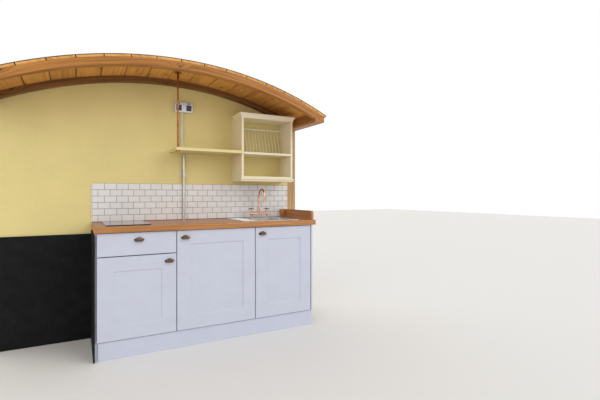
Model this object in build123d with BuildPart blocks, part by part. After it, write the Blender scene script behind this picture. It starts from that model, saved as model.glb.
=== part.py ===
"""End wall of a railway carriage cabin with its fitted kitchen, under the last bay of the arched roof.

Millimetres. Seen from inside the cabin, +X runs right along the wall, +Y out through it and +Z up.
The origin is at floor level under the middle of the wall's timber frame, on the carriage's centre line.
"""
import os
from math import sqrt

from build123d import *

os.makedirs("parts", exist_ok=True)

# Carriage section
INNER_HALF = 1128.0        # centre line to the inner face of a side wall
CROWN_Z = 2042.0           # underside of the roof boards on the centre line
ROOF_RISE = 242.67         # the roof boards' underside, from over a side wall's inner face up to the crown

# End wall
FRAME_T = 76.0             # depth of the timber frame
POST_W = 86.0
SILL_H = 90.0
STUD_W = 48.0
STUD_COUNT = 5
RAIL_D = 70.0              # arched top rail, measured down from the roof boards
LINING_T = 12.0
BOARDING_T = 20.0

# Last bay of the roof
ROOF_T = 22.0
EAVES = 30.0               # roof boards past the corner posts
VERGE = 25.0               # roof boards past the outer boarding
BAY_D = 530.0              # lining face to the front face of the free hoop
HOOP_D = 58.0
HOOP_T = 45.0
END_HOOP_D = 48.0
END_HOOP_T = 40.0
CANT_RAIL_H = 90.0
TIMBER_ROUND = 6.0         # softened edges of the hoops

# Kitchen line
KITCHEN_WALL_GAP = 16.0    # worktop's right end to the side wall's inner face
UNITS_WALL_GAP = 33.0      # between the right-hand door and the worktop's right end
FILLER_W = 13.0
KITCHEN_D = 540.0          # lining face to door faces
WORKTOP_Z = 880.0
WORKTOP_T = 40.0
WORKTOP_FRONT = 20.0       # overhang past the doors
WORKTOP_LEFT = 6.0         # overhang past the end panel
WORKTOP_ROUND = 3.0
END_PANEL_T = 18.0
LEFT_UNIT_W = 500.0
MIDDLE_UNIT_W = 600.0
RIGHT_UNIT_W = 500.0
UNIT_GAP = 1.0
BOARD_T = 18.0
BACK_T = 8.0
SERVICE_VOID = 25.0        # behind the units' backs
UNIT_Z = 120.0
RAIL_FLAT_W = 60.0         # flat rails across the top of each unit
SHELF_BACK_GAP = 2.0
SHELF_FRONT_GAP = 27.0
SHELF_SIDE_GAP = 0.5
LEFT_SHELF_Z = 400.0
MIDDLE_SHELF_Z = 470.0
PLINTH_H = 118.0
PLINTH_T = 16.0
PLINTH_SETBACK = 15.0
FOOT_R = 15.0
FOOT_FLANGE_R = 26.0
FOOT_FLANGE_T = 8.0
FOOT_INSET = 50.0

# Fronts
FRONT_T = 18.0
FRONT_GAP = 6.0            # between two fronts
FRONT_TOP_GAP = 5.0        # under the worktop
FRONT_FOOT_GAP = 7.0       # over the plinth
FRONT_BACK_GAP = 5.0       # between a front and its unit
END_PANEL_COVER = 6.0      # of the end panel's edge, behind the left-hand fronts
DRAWER_FRONT_H = 152.0
STILE_W = 95.0
PANEL_RECESS = 6.0
PANEL_SLOPE = 52.0         # degrees, of the slope from the frame down to the panel
FRONT_ROUND = 1.5

# Concealed hinges
HINGE_ARM_W = 13.0         # off the side board
HINGE_ARM_H = 14.0
HINGE_ARM_D = 66.0
HINGE_PLATE_T = 3.0
HINGE_PLATE_H = 54.0
HINGE_PLATE_D = 18.0
HINGE_PLATE_Y = 36.0       # from the door's back to the middle of the plate
HINGE_INSET = 100.0
HINGE_PLAY = 0.3

# Drawer
RUNNER_T = 12.4
RUNNER_H = 45.0
RUNNER_RISE = 30.0         # over the drawer box's foot
RUNNER_BACK_GAP = 34.0     # behind a runner, to the unit's back
RUNNER_PLAY = 0.3
DRAWER_BOX_RISE = 17.0     # over the drawer front's foot
DRAWER_BOX_H = 90.0
DRAWER_BACK_GAP = 49.0     # behind the drawer box, to the unit's back
DRAWER_SIDE_T = 12.0
DRAWER_FLOOR_T = 6.0

# Cup pulls
PULL_W = 52.0
PULL_H = 28.0
PULL_D = 22.0
PULL_WALL = 2.5
PULL_ROUND = 10.0
PULL_LUGS_W = 66.0         # over the two screw lugs
PULL_LUG_H = 12.0
PULL_LUG_T = 2.5
PULL_LUG_RISE = 12.0       # lugs' middle over the cup's foot
PULL_DROP = 46.0           # under the front's head
PULL_EDGE = 57.5           # from the door's edge away from its hinges
LEFT_PULL_EDGE = 47.5      # the same on the left-hand door

# Heat shield boards and tiling
HEAT_BOARD_H = 795.0
HEAT_BOARD_T = 10.0
HEAT_BOARD_GAP = 1.0       # between the board on the wall and the one on the end panel
SIDE_BOARD_H = 825.0
TILE_T = 8.0
SPLASHBACK_H = 300.0
UPSTAND_H = 75.0
UPSTAND_T = 20.0
UPSTAND_RETURN = 68.0
UPSTAND_FRONT = 35.0       # set back from the worktop's front edge
UPSTAND_ROUND = 22.0       # its front corner at the top

# Hob
HOB_INSET = 65.0           # from the left end of the kitchen
HOB_W = 288.0
HOB_D = 430.0
HOB_FRONT = 65.0           # from the worktop's front edge
HOB_GLASS_T = 7.0
HOB_CORNER_R = 8.0
HOB_EDGE = 1.0
HOB_TRAY_INSET = 12.0
HOB_TRAY_H = 38.0
HOB_TRAY_WALL = 2.0
CUTOUT_PLAY = 2.0

# Sink
SINK_INSET = 92.0          # from the worktop's right end
SINK_W = 520.0
SINK_D = 415.0
SINK_BACK = 52.0           # from the tiles
SINK_T = 3.0
SINK_CORNER_R = 40.0
SINK_EDGE = 1.0
DRAINER_MARGIN = 20.0
DRAINER_DROP = 1.5
DRAINER_CORNER_R = 20.0
DRAINER_RIBS = 7
DRAINER_RIB_W = 6.0
BOWL_W = 340.0
BOWL_FB = 310.0            # bowl, front to back
BOWL_H = 150.0
BOWL_WALL = 2.0
BOWL_CORNER_R = 60.0
BOWL_FLOOR_R = 18.0
BOWL_MARGIN = 22.0         # bowl to the sink's right and front edges
WASTE_R = 35.0
WASTE_FLANGE_R = 43.0
WASTE_FLANGE_T = 2.0
WASTE_H = 30.0
TRAP_R = 30.0
TRAP_H = 110.0
TRAP_PIPE_R = 20.0
WASTE_PLAY = 0.3

# Copper bridge tap
TAP_INSET = 225.0          # from the sink's right edge
TAP_BACK = 87.0            # from the tiles to the riser
TAP_SPREAD = 150.0
PIPE_R = 7.5
TAP_BRIDGE_RISE = 42.0      # bridge's middle over the worktop
TAP_ROSE_R = 17.0
TAP_ROSE_T = 6.0
TAP_VALVE_R = 13.0
TAP_COLLAR_R = 10.4
TAP_COLLAR_RISE = 26.0      # over the bridge's middle, as are the next four
TAP_STEM_R = 4.0
TAP_WHEEL_RISE = 40.0
TAP_WHEEL_R = 24.0
TAP_WHEEL_T = 9.0
TAP_HUB_R = 8.0
TAP_SPOKE_T = 4.5
TAP_SPOKES = 4
TAP_RIM_R = 3.0
TAP_SOCKET_R = 11.0
TAP_SOCKET_RISE = 23.0
SPOUT_BEND_R = 60.0
SPOUT_TOP_RISE = 157.0     # where the swan neck's bend begins
SPOUT_END_RISE = 100.0
SPOUT_TIP_R = 10.0
SPOUT_TIP_H = 16.0
TAP_PLAY = 0.3

# Shelf and the rod that hangs its corner from the roof
SHELF_W = 548.0
SHELF_Z = 1460.0           # top face
SHELF_T = 22.0
SHELF_D = 280.0
ROD_R = 7.5
ROD_INSET = 14.0
ROD_CAP_R = 13.0
ROD_CAP_T = 10.0
ROD_PLAY = 0.3
FLANGE_R = 26.0
FLANGE_T = 6.0

# Plate rack
RACK_WALL_GAP = 68.0       # rack's right side to the side wall's inner face
RACK_W = 484.0
RACK_D = 240.0
RACK_Z = 1231.0            # underside of the bottom board
RACK_H = 536.0
RACK_BOARD_T = 18.0
RACK_MIDDLE_RISE = 226.0   # underside of the bottom board to the middle board's top face
CORNICE_OVERHANG = 19.0
CORNICE_H = 42.0
CORNICE_RISE = 20.0        # over the rack's top
CORNICE_LIP = 8.0
CORNICE_FOOT_T = 5.0
CORNICE_HOLLOW = 5.0
CORNICE_HOOP_GAP = 2.0
PELMET_OVERHANG = 13.0
PELMET_H = 24.0
PELMET_LIP = 7.0
PELMET_HOLLOW = 2.5
RACK_RAIL_DROP = 86.0      # rack's top to the rail's foot
RACK_RAIL_H = 14.0
RACK_RAIL_D = 18.0
DOWEL_R = 4.0
DOWEL_COUNT = 13
DOWEL_RUN = 70.0           # how far a dowel's foot stands in front of its head

# Wiring on the wall
SOCKET_INSET = 114.0       # socket's middle from the shelf's left end
SOCKET_Z = 1825.0
SOCKET_W = 146.0
SOCKET_H = 86.0
SOCKET_BOX_D = 26.0
SOCKET_PLATE_T = 4.0
SOCKET_CORNER_R = 4.0
SOCKET_EDGE = 1.0
SOCKET_BOX_INSET = 3.0
TRUNKING_INSET = 101.0     # from the shelf's left end
TRUNKING_W = 25.0
TRUNKING_D = 16.0
CONDUIT_INSET = 115.0      # from the shelf's left end
CONDUIT_R = 10.0
CONDUIT_WALL = 1.6
CONDUIT_PLAY = 0.3
CLIP_Z = 1260.0
CLIP_H = 16.0
CLIP_WALL = 2.0
CLIP_LUG = 14.0

# Places that follow from the sizes above
ROOF_RADIUS = (INNER_HALF**2 + ROOF_RISE**2) / (2 * ROOF_RISE)
ARC_Z = CROWN_Z - ROOF_RADIUS
WALL_HALF = INNER_HALF + POST_W
LINING_Y = -(FRAME_T / 2 + LINING_T)
BOARDING_Y = FRAME_T / 2 + BOARDING_T
BAY_FRONT_Y = LINING_Y - BAY_D
TILE_Y = LINING_Y - TILE_T
FRONT_Y = LINING_Y - KITCHEN_D
FRONT_BACK_Y = FRONT_Y + FRONT_T
UNIT_FRONT_Y = FRONT_BACK_Y + FRONT_BACK_GAP
UNIT_BACK_Y = LINING_Y - SERVICE_VOID - BACK_T
UNIT_TOP_Z = WORKTOP_Z - WORKTOP_T
WORKTOP_Y = FRONT_Y - WORKTOP_FRONT
WORKTOP_RIGHT = INNER_HALF - KITCHEN_WALL_GAP
UNITS_RIGHT = WORKTOP_RIGHT - UNITS_WALL_GAP - FRONT_GAP / 2
FILLER_RIGHT = UNITS_RIGHT + FRONT_GAP / 2 + FILLER_W
RIGHT_LEFT = UNITS_RIGHT - RIGHT_UNIT_W
MIDDLE_LEFT = RIGHT_LEFT - MIDDLE_UNIT_W
UNITS_LEFT = MIDDLE_LEFT - LEFT_UNIT_W
KITCHEN_LEFT = UNITS_LEFT - END_PANEL_T
UNITS = {
    "left": (UNITS_LEFT, MIDDLE_LEFT),
    "middle": (MIDDLE_LEFT, RIGHT_LEFT),
    "right": (RIGHT_LEFT, UNITS_RIGHT),
}
FRONT_TOP_Z = UNIT_TOP_Z - FRONT_TOP_GAP
FRONT_FOOT_Z = PLINTH_H + FRONT_FOOT_GAP
DRAWER_FRONT_Z = FRONT_TOP_Z - DRAWER_FRONT_H
RACK_RIGHT = INNER_HALF - RACK_WALL_GAP
RACK_LEFT = RACK_RIGHT - RACK_W
RACK_FRONT_Y = LINING_Y - RACK_D
RACK_TOP_Z = RACK_Z + RACK_H
RACK_MIDDLE_Z = RACK_Z + RACK_MIDDLE_RISE
SHELF_LEFT = RACK_LEFT - SHELF_W
SHELF_FOOT_Z = SHELF_Z - SHELF_T


def arc_z(x, radius=ROOF_RADIUS):
    """Height of a circle about the roof's centre at this distance from the centre line."""
    return ARC_Z + sqrt(radius**2 - x**2)


def upright(y):
    """Upright plane facing the cabin at this y, with its own x and y along +X and +Z."""
    return Plane.XZ.offset(-y)


def slab(x_span, y_span, z_span, mode=Mode.ADD):
    """Board, post or bar that fills three spans."""
    spans = (x_span, y_span, z_span)
    with Locations(tuple((low + high) / 2 for low, high in spans)):
        return Box(*(high - low for low, high in spans), mode=mode)


def under_arc(y, x_span, foot, radius=ROOF_RADIUS):
    """Upright face at y with a level foot, whose head follows an arc about the roof's centre."""
    left, right = x_span
    middle = (left + right) / 2
    with BuildSketch(upright(y)) as face:
        with BuildLine():
            Polyline(
                (left, arc_z(left, radius)), (left, foot), (right, foot), (right, arc_z(right, radius))
            )
            ThreePointArc(
                (right, arc_z(right, radius)), (middle, arc_z(middle, radius)), (left, arc_z(left, radius))
            )
        make_face()
    return face.sketch


def between_arcs(y, half, inner, outer):
    """Upright face at y between two arcs about the roof's centre, cut off plumb at both ends."""
    with BuildSketch(upright(y)) as face:
        with BuildLine():
            ThreePointArc((-half, arc_z(half, outer)), (0, arc_z(0, outer)), (half, arc_z(half, outer)))
            Line((half, arc_z(half, outer)), (half, arc_z(half, inner)))
            ThreePointArc((half, arc_z(half, inner)), (0, arc_z(0, inner)), (-half, arc_z(half, inner)))
            Line((-half, arc_z(half, inner)), (-half, arc_z(half, outer)))
        make_face()
    return face.sketch


# End wall: sill, posts, studs and arched rail, lined inside and boarded outside
with BuildPart() as wall_sill:
    slab((-INNER_HALF, INNER_HALF), (-FRAME_T / 2, FRAME_T / 2), (0, SILL_H))
wall_sill.part.label = "wall_sill"
export_step(wall_sill.part, "parts/wall_sill.step")

with BuildPart() as corner_posts:
    extrude(under_arc(FRAME_T / 2, (INNER_HALF, WALL_HALF), 0), amount=FRAME_T / 2 - LINING_Y)
    mirror(about=Plane.YZ)
corner_posts.part.label = "corner_posts"
export_step(corner_posts.part, "parts/corner_posts.step")

with BuildPart() as wall_studs:
    for stud in range(STUD_COUNT):
        stud_x = INNER_HALF * (2 * (stud + 1) / (STUD_COUNT + 1) - 1)
        stud_span = (stud_x - STUD_W / 2, stud_x + STUD_W / 2)
        extrude(under_arc(FRAME_T / 2, stud_span, SILL_H, ROOF_RADIUS - RAIL_D), amount=FRAME_T)
wall_studs.part.label = "wall_studs"
export_step(wall_studs.part, "parts/wall_studs.step")

with BuildPart() as arched_rail:
    extrude(between_arcs(FRAME_T / 2, INNER_HALF, ROOF_RADIUS - RAIL_D, ROOF_RADIUS), amount=FRAME_T)
arched_rail.part.label = "arched_rail"
export_step(arched_rail.part, "parts/arched_rail.step")

with BuildPart() as lining:
    extrude(under_arc(-FRAME_T / 2, (-INNER_HALF, INNER_HALF), 0), amount=LINING_T)
lining.part.label = "lining"
export_step(lining.part, "parts/lining.step")

with BuildPart() as outer_boarding:
    extrude(under_arc(BOARDING_Y, (-WALL_HALF, WALL_HALF), 0), amount=BOARDING_T)
outer_boarding.part.label = "outer_boarding"
export_step(outer_boarding.part, "parts/outer_boarding.step")

# Last bay of the roof: boards over a hoop at the wall and a free hoop, on the two cant rails
with BuildPart() as roof_boards:
    roof_face = between_arcs(BOARDING_Y + VERGE, WALL_HALF + EAVES, ROOF_RADIUS, ROOF_RADIUS + ROOF_T)
    extrude(roof_face, amount=BOARDING_Y + VERGE - BAY_FRONT_Y)
roof_boards.part.label = "roof_boards"
export_step(roof_boards.part, "parts/roof_boards.step")

with BuildPart() as end_hoop:
    extrude(between_arcs(LINING_Y, INNER_HALF, ROOF_RADIUS - END_HOOP_D, ROOF_RADIUS), amount=END_HOOP_T)
    hoop_underside = end_hoop.edges().filter_by(GeomType.CIRCLE).group_by(SortBy.RADIUS)[0]
    chamfer(hoop_underside.sort_by(Axis.Y)[0], TIMBER_ROUND)
end_hoop.part.label = "end_hoop"
export_step(end_hoop.part, "parts/end_hoop.step")

with BuildPart() as roof_hoop:
    hoop_face = between_arcs(BAY_FRONT_Y + HOOP_T, INNER_HALF, ROOF_RADIUS - HOOP_D, ROOF_RADIUS)
    extrude(hoop_face, amount=HOOP_T)
    hoop_underside = roof_hoop.edges().filter_by(GeomType.CIRCLE).group_by(SortBy.RADIUS)[0]
    chamfer(hoop_underside, TIMBER_ROUND)
roof_hoop.part.label = "roof_hoop"
export_step(roof_hoop.part, "parts/roof_hoop.step")

with BuildPart() as cant_rails:
    cant_foot = arc_z(INNER_HALF) - CANT_RAIL_H
    extrude(under_arc(LINING_Y, (INNER_HALF, WALL_HALF), cant_foot), amount=BAY_D)
    mirror(about=Plane.YZ)
cant_rails.part.label = "cant_rails"
export_step(cant_rails.part, "parts/cant_rails.step")

# Heat shield boards beside the kitchen
with BuildPart() as heat_boards:
    wall_board_y = (LINING_Y - HEAT_BOARD_T, LINING_Y)
    slab((-INNER_HALF, KITCHEN_LEFT), wall_board_y, (0, HEAT_BOARD_H))
    side_board_y = (FRONT_Y, wall_board_y[0] - HEAT_BOARD_GAP)
    slab((KITCHEN_LEFT - HEAT_BOARD_T, KITCHEN_LEFT), side_board_y, (0, SIDE_BOARD_H))
heat_boards.part.label = "heat_boards"
export_step(heat_boards.part, "parts/heat_boards.step")

# Kitchen units
with BuildPart() as end_panel:
    slab((KITCHEN_LEFT, UNITS_LEFT), (UNIT_FRONT_Y, LINING_Y), (0, UNIT_TOP_Z))
end_panel.part.label = "end_panel"
export_step(end_panel.part, "parts/end_panel.step")

with BuildPart() as unit_sides:
    for unit_left, unit_right in UNITS.values():
        side_left = unit_left + UNIT_GAP / 2
        side_right = unit_right - UNIT_GAP / 2
        slab((side_left, side_left + BOARD_T), (UNIT_FRONT_Y, LINING_Y), (UNIT_Z, UNIT_TOP_Z))
        slab((side_right - BOARD_T, side_right), (UNIT_FRONT_Y, LINING_Y), (UNIT_Z, UNIT_TOP_Z))
unit_sides.part.label = "unit_sides"
export_step(unit_sides.part, "parts/unit_sides.step")


def inner_span(unit_name):
    """Clear width inside a unit, between its two side boards."""
    unit_left, unit_right = UNITS[unit_name]
    return (unit_left + UNIT_GAP / 2 + BOARD_T, unit_right - UNIT_GAP / 2 - BOARD_T)


with BuildPart() as unit_bottoms:
    for unit_name in UNITS:
        slab(inner_span(unit_name), (UNIT_FRONT_Y, UNIT_BACK_Y), (UNIT_Z, UNIT_Z + BOARD_T))
unit_bottoms.part.label = "unit_bottoms"
export_step(unit_bottoms.part, "parts/unit_bottoms.step")

with BuildPart() as unit_backs:
    for unit_name in UNITS:
        slab(inner_span(unit_name), (UNIT_BACK_Y, UNIT_BACK_Y + BACK_T), (UNIT_Z, UNIT_TOP_Z))
unit_backs.part.label = "unit_backs"
export_step(unit_backs.part, "parts/unit_backs.step")

with BuildPart() as unit_rails:
    for unit_name in UNITS:
        rail_z = (UNIT_TOP_Z - BOARD_T, UNIT_TOP_Z)
        slab(inner_span(unit_name), (UNIT_FRONT_Y, UNIT_FRONT_Y + RAIL_FLAT_W), rail_z)
        slab(inner_span(unit_name), (UNIT_BACK_Y - RAIL_FLAT_W, UNIT_BACK_Y), rail_z)
unit_rails.part.label = "unit_rails"
export_step(unit_rails.part, "parts/unit_rails.step")

with BuildPart() as unit_shelves:
    for unit_name, shelf_z in (("left", LEFT_SHELF_Z), ("middle", MIDDLE_SHELF_Z)):
        shelf_left, shelf_right = inner_span(unit_name)
        slab(
            (shelf_left + SHELF_SIDE_GAP, shelf_right - SHELF_SIDE_GAP),
            (UNIT_FRONT_Y + SHELF_FRONT_GAP, UNIT_BACK_Y - SHELF_BACK_GAP),
            (shelf_z, shelf_z + BOARD_T),
        )
unit_shelves.part.label = "unit_shelves"
export_step(unit_shelves.part, "parts/unit_shelves.step")

with BuildPart() as unit_feet:
    foot_places = [
        (foot_x, foot_y)
        for unit_left, unit_right in UNITS.values()
        for foot_x in (unit_left + FOOT_INSET, unit_right - FOOT_INSET)
        for foot_y in (UNIT_FRONT_Y + FOOT_INSET, UNIT_BACK_Y - FOOT_INSET)
    ]
    with Locations(*foot_places):
        Cylinder(FOOT_R, UNIT_Z, align=(Align.CENTER, Align.CENTER, Align.MIN))
        Cylinder(FOOT_FLANGE_R, FOOT_FLANGE_T, align=(Align.CENTER, Align.CENTER, Align.MIN))
unit_feet.part.label = "unit_feet"
export_step(unit_feet.part, "parts/unit_feet.step")

with BuildPart() as plinth:
    plinth_y = FRONT_Y + PLINTH_SETBACK
    slab((UNITS_LEFT, FILLER_RIGHT), (plinth_y, plinth_y + PLINTH_T), (0, PLINTH_H))
plinth.part.label = "plinth"
export_step(plinth.part, "parts/plinth.step")

with BuildPart() as filler:
    slab(
        (UNITS_RIGHT + FRONT_GAP / 2, FILLER_RIGHT),
        (FRONT_Y, FRONT_BACK_Y),
        (FRONT_FOOT_Z, UNIT_TOP_Z),
    )
    slab(
        (UNITS_RIGHT - UNIT_GAP / 2, FILLER_RIGHT),
        (FRONT_BACK_Y, FRONT_BACK_Y + RAIL_FLAT_W),
        (FRONT_FOOT_Z, UNIT_TOP_Z),
    )
filler.part.label = "filler"
export_step(filler.part, "parts/filler.step")

# Worktop with its cut-outs for the hob and the sink
HOB_LEFT = KITCHEN_LEFT + HOB_INSET
HOB_FRONT_Y = WORKTOP_Y + HOB_FRONT
SINK_BACK_Y = TILE_Y - SINK_BACK
SINK_FRONT_Y = SINK_BACK_Y - SINK_D
SINK_RIGHT = WORKTOP_RIGHT - SINK_INSET
SINK_LEFT = SINK_RIGHT - SINK_W
BOWL_RIGHT = SINK_RIGHT - BOWL_MARGIN
BOWL_FRONT_Y = SINK_FRONT_Y + BOWL_MARGIN
BOWL_X = BOWL_RIGHT - BOWL_W / 2
BOWL_Y = BOWL_FRONT_Y + BOWL_FB / 2
TAP_X = SINK_RIGHT - TAP_INSET
TAP_Y = TILE_Y - TAP_BACK

with BuildPart() as worktop:
    slab(
        (KITCHEN_LEFT - WORKTOP_LEFT, WORKTOP_RIGHT),
        (WORKTOP_Y, LINING_Y),
        (UNIT_TOP_Z, WORKTOP_Z),
    )
    front_edges = worktop.edges().filter_by(Axis.X).group_by(Axis.Y)[0]
    fillet(front_edges, WORKTOP_ROUND)
    slab(
        (HOB_LEFT + HOB_TRAY_INSET - CUTOUT_PLAY, HOB_LEFT + HOB_W - HOB_TRAY_INSET + CUTOUT_PLAY),
        (HOB_FRONT_Y + HOB_TRAY_INSET - CUTOUT_PLAY, HOB_FRONT_Y + HOB_D - HOB_TRAY_INSET + CUTOUT_PLAY),
        (UNIT_TOP_Z, WORKTOP_Z),
        mode=Mode.SUBTRACT,
    )
    slab(
        (BOWL_RIGHT - BOWL_W - CUTOUT_PLAY, BOWL_RIGHT + CUTOUT_PLAY),
        (BOWL_FRONT_Y - CUTOUT_PLAY, TAP_Y + TAP_ROSE_R),
        (UNIT_TOP_Z, WORKTOP_Z),
        mode=Mode.SUBTRACT,
    )
worktop.part.label = "worktop"
export_step(worktop.part, "parts/worktop.step")

with BuildPart() as splashback:
    tiling_x = (KITCHEN_LEFT - WORKTOP_LEFT, INNER_HALF)
    slab(tiling_x, (TILE_Y, LINING_Y), (WORKTOP_Z, WORKTOP_Z + SPLASHBACK_H))
splashback.part.label = "splashback"
export_step(splashback.part, "parts/splashback.step")

with BuildPart() as upstand:
    slab(
        (WORKTOP_RIGHT - UPSTAND_T, WORKTOP_RIGHT),
        (WORKTOP_Y + UPSTAND_FRONT, TILE_Y),
        (WORKTOP_Z, WORKTOP_Z + UPSTAND_H),
    )
    fillet(upstand.faces().sort_by(Axis.Z)[-1].edges().sort_by(Axis.Y)[0], UPSTAND_ROUND)
    slab(
        (WORKTOP_RIGHT - UPSTAND_RETURN, WORKTOP_RIGHT),
        (TILE_Y - UPSTAND_T, TILE_Y),
        (WORKTOP_Z, WORKTOP_Z + UPSTAND_H),
    )
upstand.part.label = "upstand"
export_step(upstand.part, "parts/upstand.step")

# Fronts: three framed doors with recessed panels, and a plain drawer front
FRONTS = {
    "left_door": (
        (UNITS_LEFT - END_PANEL_COVER, MIDDLE_LEFT - FRONT_GAP / 2),
        (FRONT_FOOT_Z, DRAWER_FRONT_Z - FRONT_GAP),
    ),
    "middle_door": (
        (MIDDLE_LEFT + FRONT_GAP / 2, RIGHT_LEFT - FRONT_GAP / 2),
        (FRONT_FOOT_Z, FRONT_TOP_Z),
    ),
    "right_door": (
        (RIGHT_LEFT + FRONT_GAP / 2, UNITS_RIGHT - FRONT_GAP / 2),
        (FRONT_FOOT_Z, FRONT_TOP_Z),
    ),
}
DRAWER_SPAN = FRONTS["left_door"][0]

for front_name, (door_x, door_z) in FRONTS.items():
    with BuildPart() as door:
        slab(door_x, (FRONT_Y, FRONT_BACK_Y), door_z)
        outer_edges = door.faces().sort_by(Axis.Y)[0].edges()
        chamfer(outer_edges, FRONT_ROUND)
        with BuildSketch(upright(FRONT_Y)):
            with Locations((sum(door_x) / 2, sum(door_z) / 2)):
                Rectangle(door_x[1] - door_x[0] - 2 * STILE_W, door_z[1] - door_z[0] - 2 * STILE_W)
        extrude(amount=-PANEL_RECESS, taper=PANEL_SLOPE, mode=Mode.SUBTRACT)
    door.part.label = front_name
    export_step(door.part, "parts/" + front_name + ".step")

with BuildPart() as drawer_front:
    slab(DRAWER_SPAN, (FRONT_Y, FRONT_BACK_Y), (DRAWER_FRONT_Z, FRONT_TOP_Z))
    chamfer(drawer_front.faces().sort_by(Axis.Y)[0].edges(), FRONT_ROUND)
drawer_front.part.label = "drawer_front"
export_step(drawer_front.part, "parts/drawer_front.step")

# Drawer box between its two runners
DRAWER_BOX_Z = DRAWER_FRONT_Z + DRAWER_BOX_RISE
RUNNER_Z = DRAWER_BOX_Z + RUNNER_RISE
left_inner = inner_span("left")
with BuildPart() as drawer_runners:
    runner_y = (UNIT_FRONT_Y, UNIT_BACK_Y - RUNNER_BACK_GAP)
    for runner_x in (
        (left_inner[0], left_inner[0] + RUNNER_T),
        (left_inner[1] - RUNNER_T, left_inner[1]),
    ):
        slab(runner_x, runner_y, (RUNNER_Z, RUNNER_Z + RUNNER_H))
drawer_runners.part.label = "drawer_runners"
export_step(drawer_runners.part, "parts/drawer_runners.step")

with BuildPart() as drawer_box:
    box_x = (left_inner[0] + RUNNER_T + RUNNER_PLAY, left_inner[1] - RUNNER_T - RUNNER_PLAY)
    box_y = (FRONT_BACK_Y, UNIT_BACK_Y - DRAWER_BACK_GAP)
    slab(box_x, box_y, (DRAWER_BOX_Z, DRAWER_BOX_Z + DRAWER_BOX_H))
    slab(
        (box_x[0] + DRAWER_SIDE_T, box_x[1] - DRAWER_SIDE_T),
        (box_y[0] + DRAWER_SIDE_T, box_y[1] - DRAWER_SIDE_T),
        (DRAWER_BOX_Z + DRAWER_FLOOR_T, DRAWER_BOX_Z + DRAWER_BOX_H),
        mode=Mode.SUBTRACT,
    )
drawer_box.part.label = "drawer_box"
export_step(drawer_box.part, "parts/drawer_box.step")

# Concealed hinges' arms and plates on the units' side boards, two to a door
with BuildPart() as hinge_arms:
    for unit_name, front_name, on_left in (
        ("left", "left_door", True),
        ("middle", "middle_door", False),
        ("right", "right_door", False),
    ):
        side_x = inner_span(unit_name)[0 if on_left else 1]
        inward = 1 if on_left else -1
        plate_y = FRONT_BACK_Y + HINGE_PLATE_Y
        door_z = FRONTS[front_name][1]
        for arm_z in (door_z[0] + HINGE_INSET, door_z[1] - HINGE_INSET):
            slab(
                sorted((side_x, side_x + inward * HINGE_ARM_W)),
                (FRONT_BACK_Y + HINGE_PLAY, FRONT_BACK_Y + HINGE_ARM_D),
                (arm_z - HINGE_ARM_H / 2, arm_z + HINGE_ARM_H / 2),
            )
            slab(
                sorted((side_x, side_x + inward * HINGE_PLATE_T)),
                (plate_y - HINGE_PLATE_D / 2, plate_y + HINGE_PLATE_D / 2),
                (arm_z - HINGE_PLATE_H / 2, arm_z + HINGE_PLATE_H / 2),
            )
hinge_arms.part.label = "hinge_arms"
export_step(hinge_arms.part, "parts/hinge_arms.step")

# Cup pulls: hollow half cups open below, with two screw lugs
PULLS = {
    "drawer_pull": (sum(UNITS["left"]) / 2, FRONT_TOP_Z - PULL_DROP),
    "left_door_pull": (
        FRONTS["left_door"][0][1] - LEFT_PULL_EDGE,
        FRONTS["left_door"][1][1] - PULL_DROP,
    ),
    "middle_door_pull": (
        FRONTS["middle_door"][0][0] + PULL_EDGE,
        FRONTS["middle_door"][1][1] - PULL_DROP,
    ),
    "right_door_pull": (
        FRONTS["right_door"][0][0] + PULL_EDGE,
        FRONTS["right_door"][1][1] - PULL_DROP,
    ),
}


def cup_outline(origin, width, height):
    """Flat-footed outline with a half-round head on the fronts' faces, above its foot's middle."""
    with BuildSketch(Plane(origin=origin, x_dir=(1, 0, 0), z_dir=(0, -1, 0))) as outline:
        with BuildLine():
            Line((-width / 2, 0), (width / 2, 0))
            ThreePointArc((width / 2, 0), (0, height), (-width / 2, 0))
        make_face()
    return outline.sketch


def cup(origin, width, height, depth, rounding):
    """Solid with the cup's outline, rounded over at its front."""
    with BuildPart() as body:
        extrude(cup_outline(origin, width, height), amount=depth)
        front_arc = body.faces().sort_by(Axis.Y)[0].edges().filter_by(GeomType.CIRCLE)
        fillet(front_arc, rounding)
    return body.part


for pull_name, (pull_x, pull_z) in PULLS.items():
    pull_foot = (pull_x, FRONT_Y, pull_z - PULL_H / 2)
    mouth = (pull_x, FRONT_Y, pull_foot[2] - PULL_WALL)
    hollow = cup(mouth, PULL_W - 2 * PULL_WALL, PULL_H, PULL_D - PULL_WALL, PULL_ROUND - PULL_WALL)
    with BuildPart() as cup_pull:
        add(cup(pull_foot, PULL_W, PULL_H, PULL_D, PULL_ROUND))
        with BuildSketch(upright(FRONT_Y)):
            with Locations((pull_x, pull_foot[2] + PULL_LUG_RISE)):
                SlotOverall(PULL_LUGS_W, PULL_LUG_H)
        extrude(amount=PULL_LUG_T)
        add(hollow, mode=Mode.SUBTRACT)
    cup_pull.part.label = pull_name
    export_step(cup_pull.part, "parts/" + pull_name + ".step")

# Hob: ceramic glass over a shallow metal tray
with BuildPart() as hob_glass:
    hob_centre = (HOB_LEFT + HOB_W / 2, HOB_FRONT_Y + HOB_D / 2)
    with BuildSketch(Plane.XY.offset(WORKTOP_Z)):
        with Locations(hob_centre):
            RectangleRounded(HOB_W, HOB_D, HOB_CORNER_R)
    extrude(amount=HOB_GLASS_T)
    chamfer(hob_glass.faces().sort_by(Axis.Z)[-1].edges(), HOB_EDGE)
hob_glass.part.label = "hob_glass"
export_step(hob_glass.part, "parts/hob_glass.step")

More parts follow.
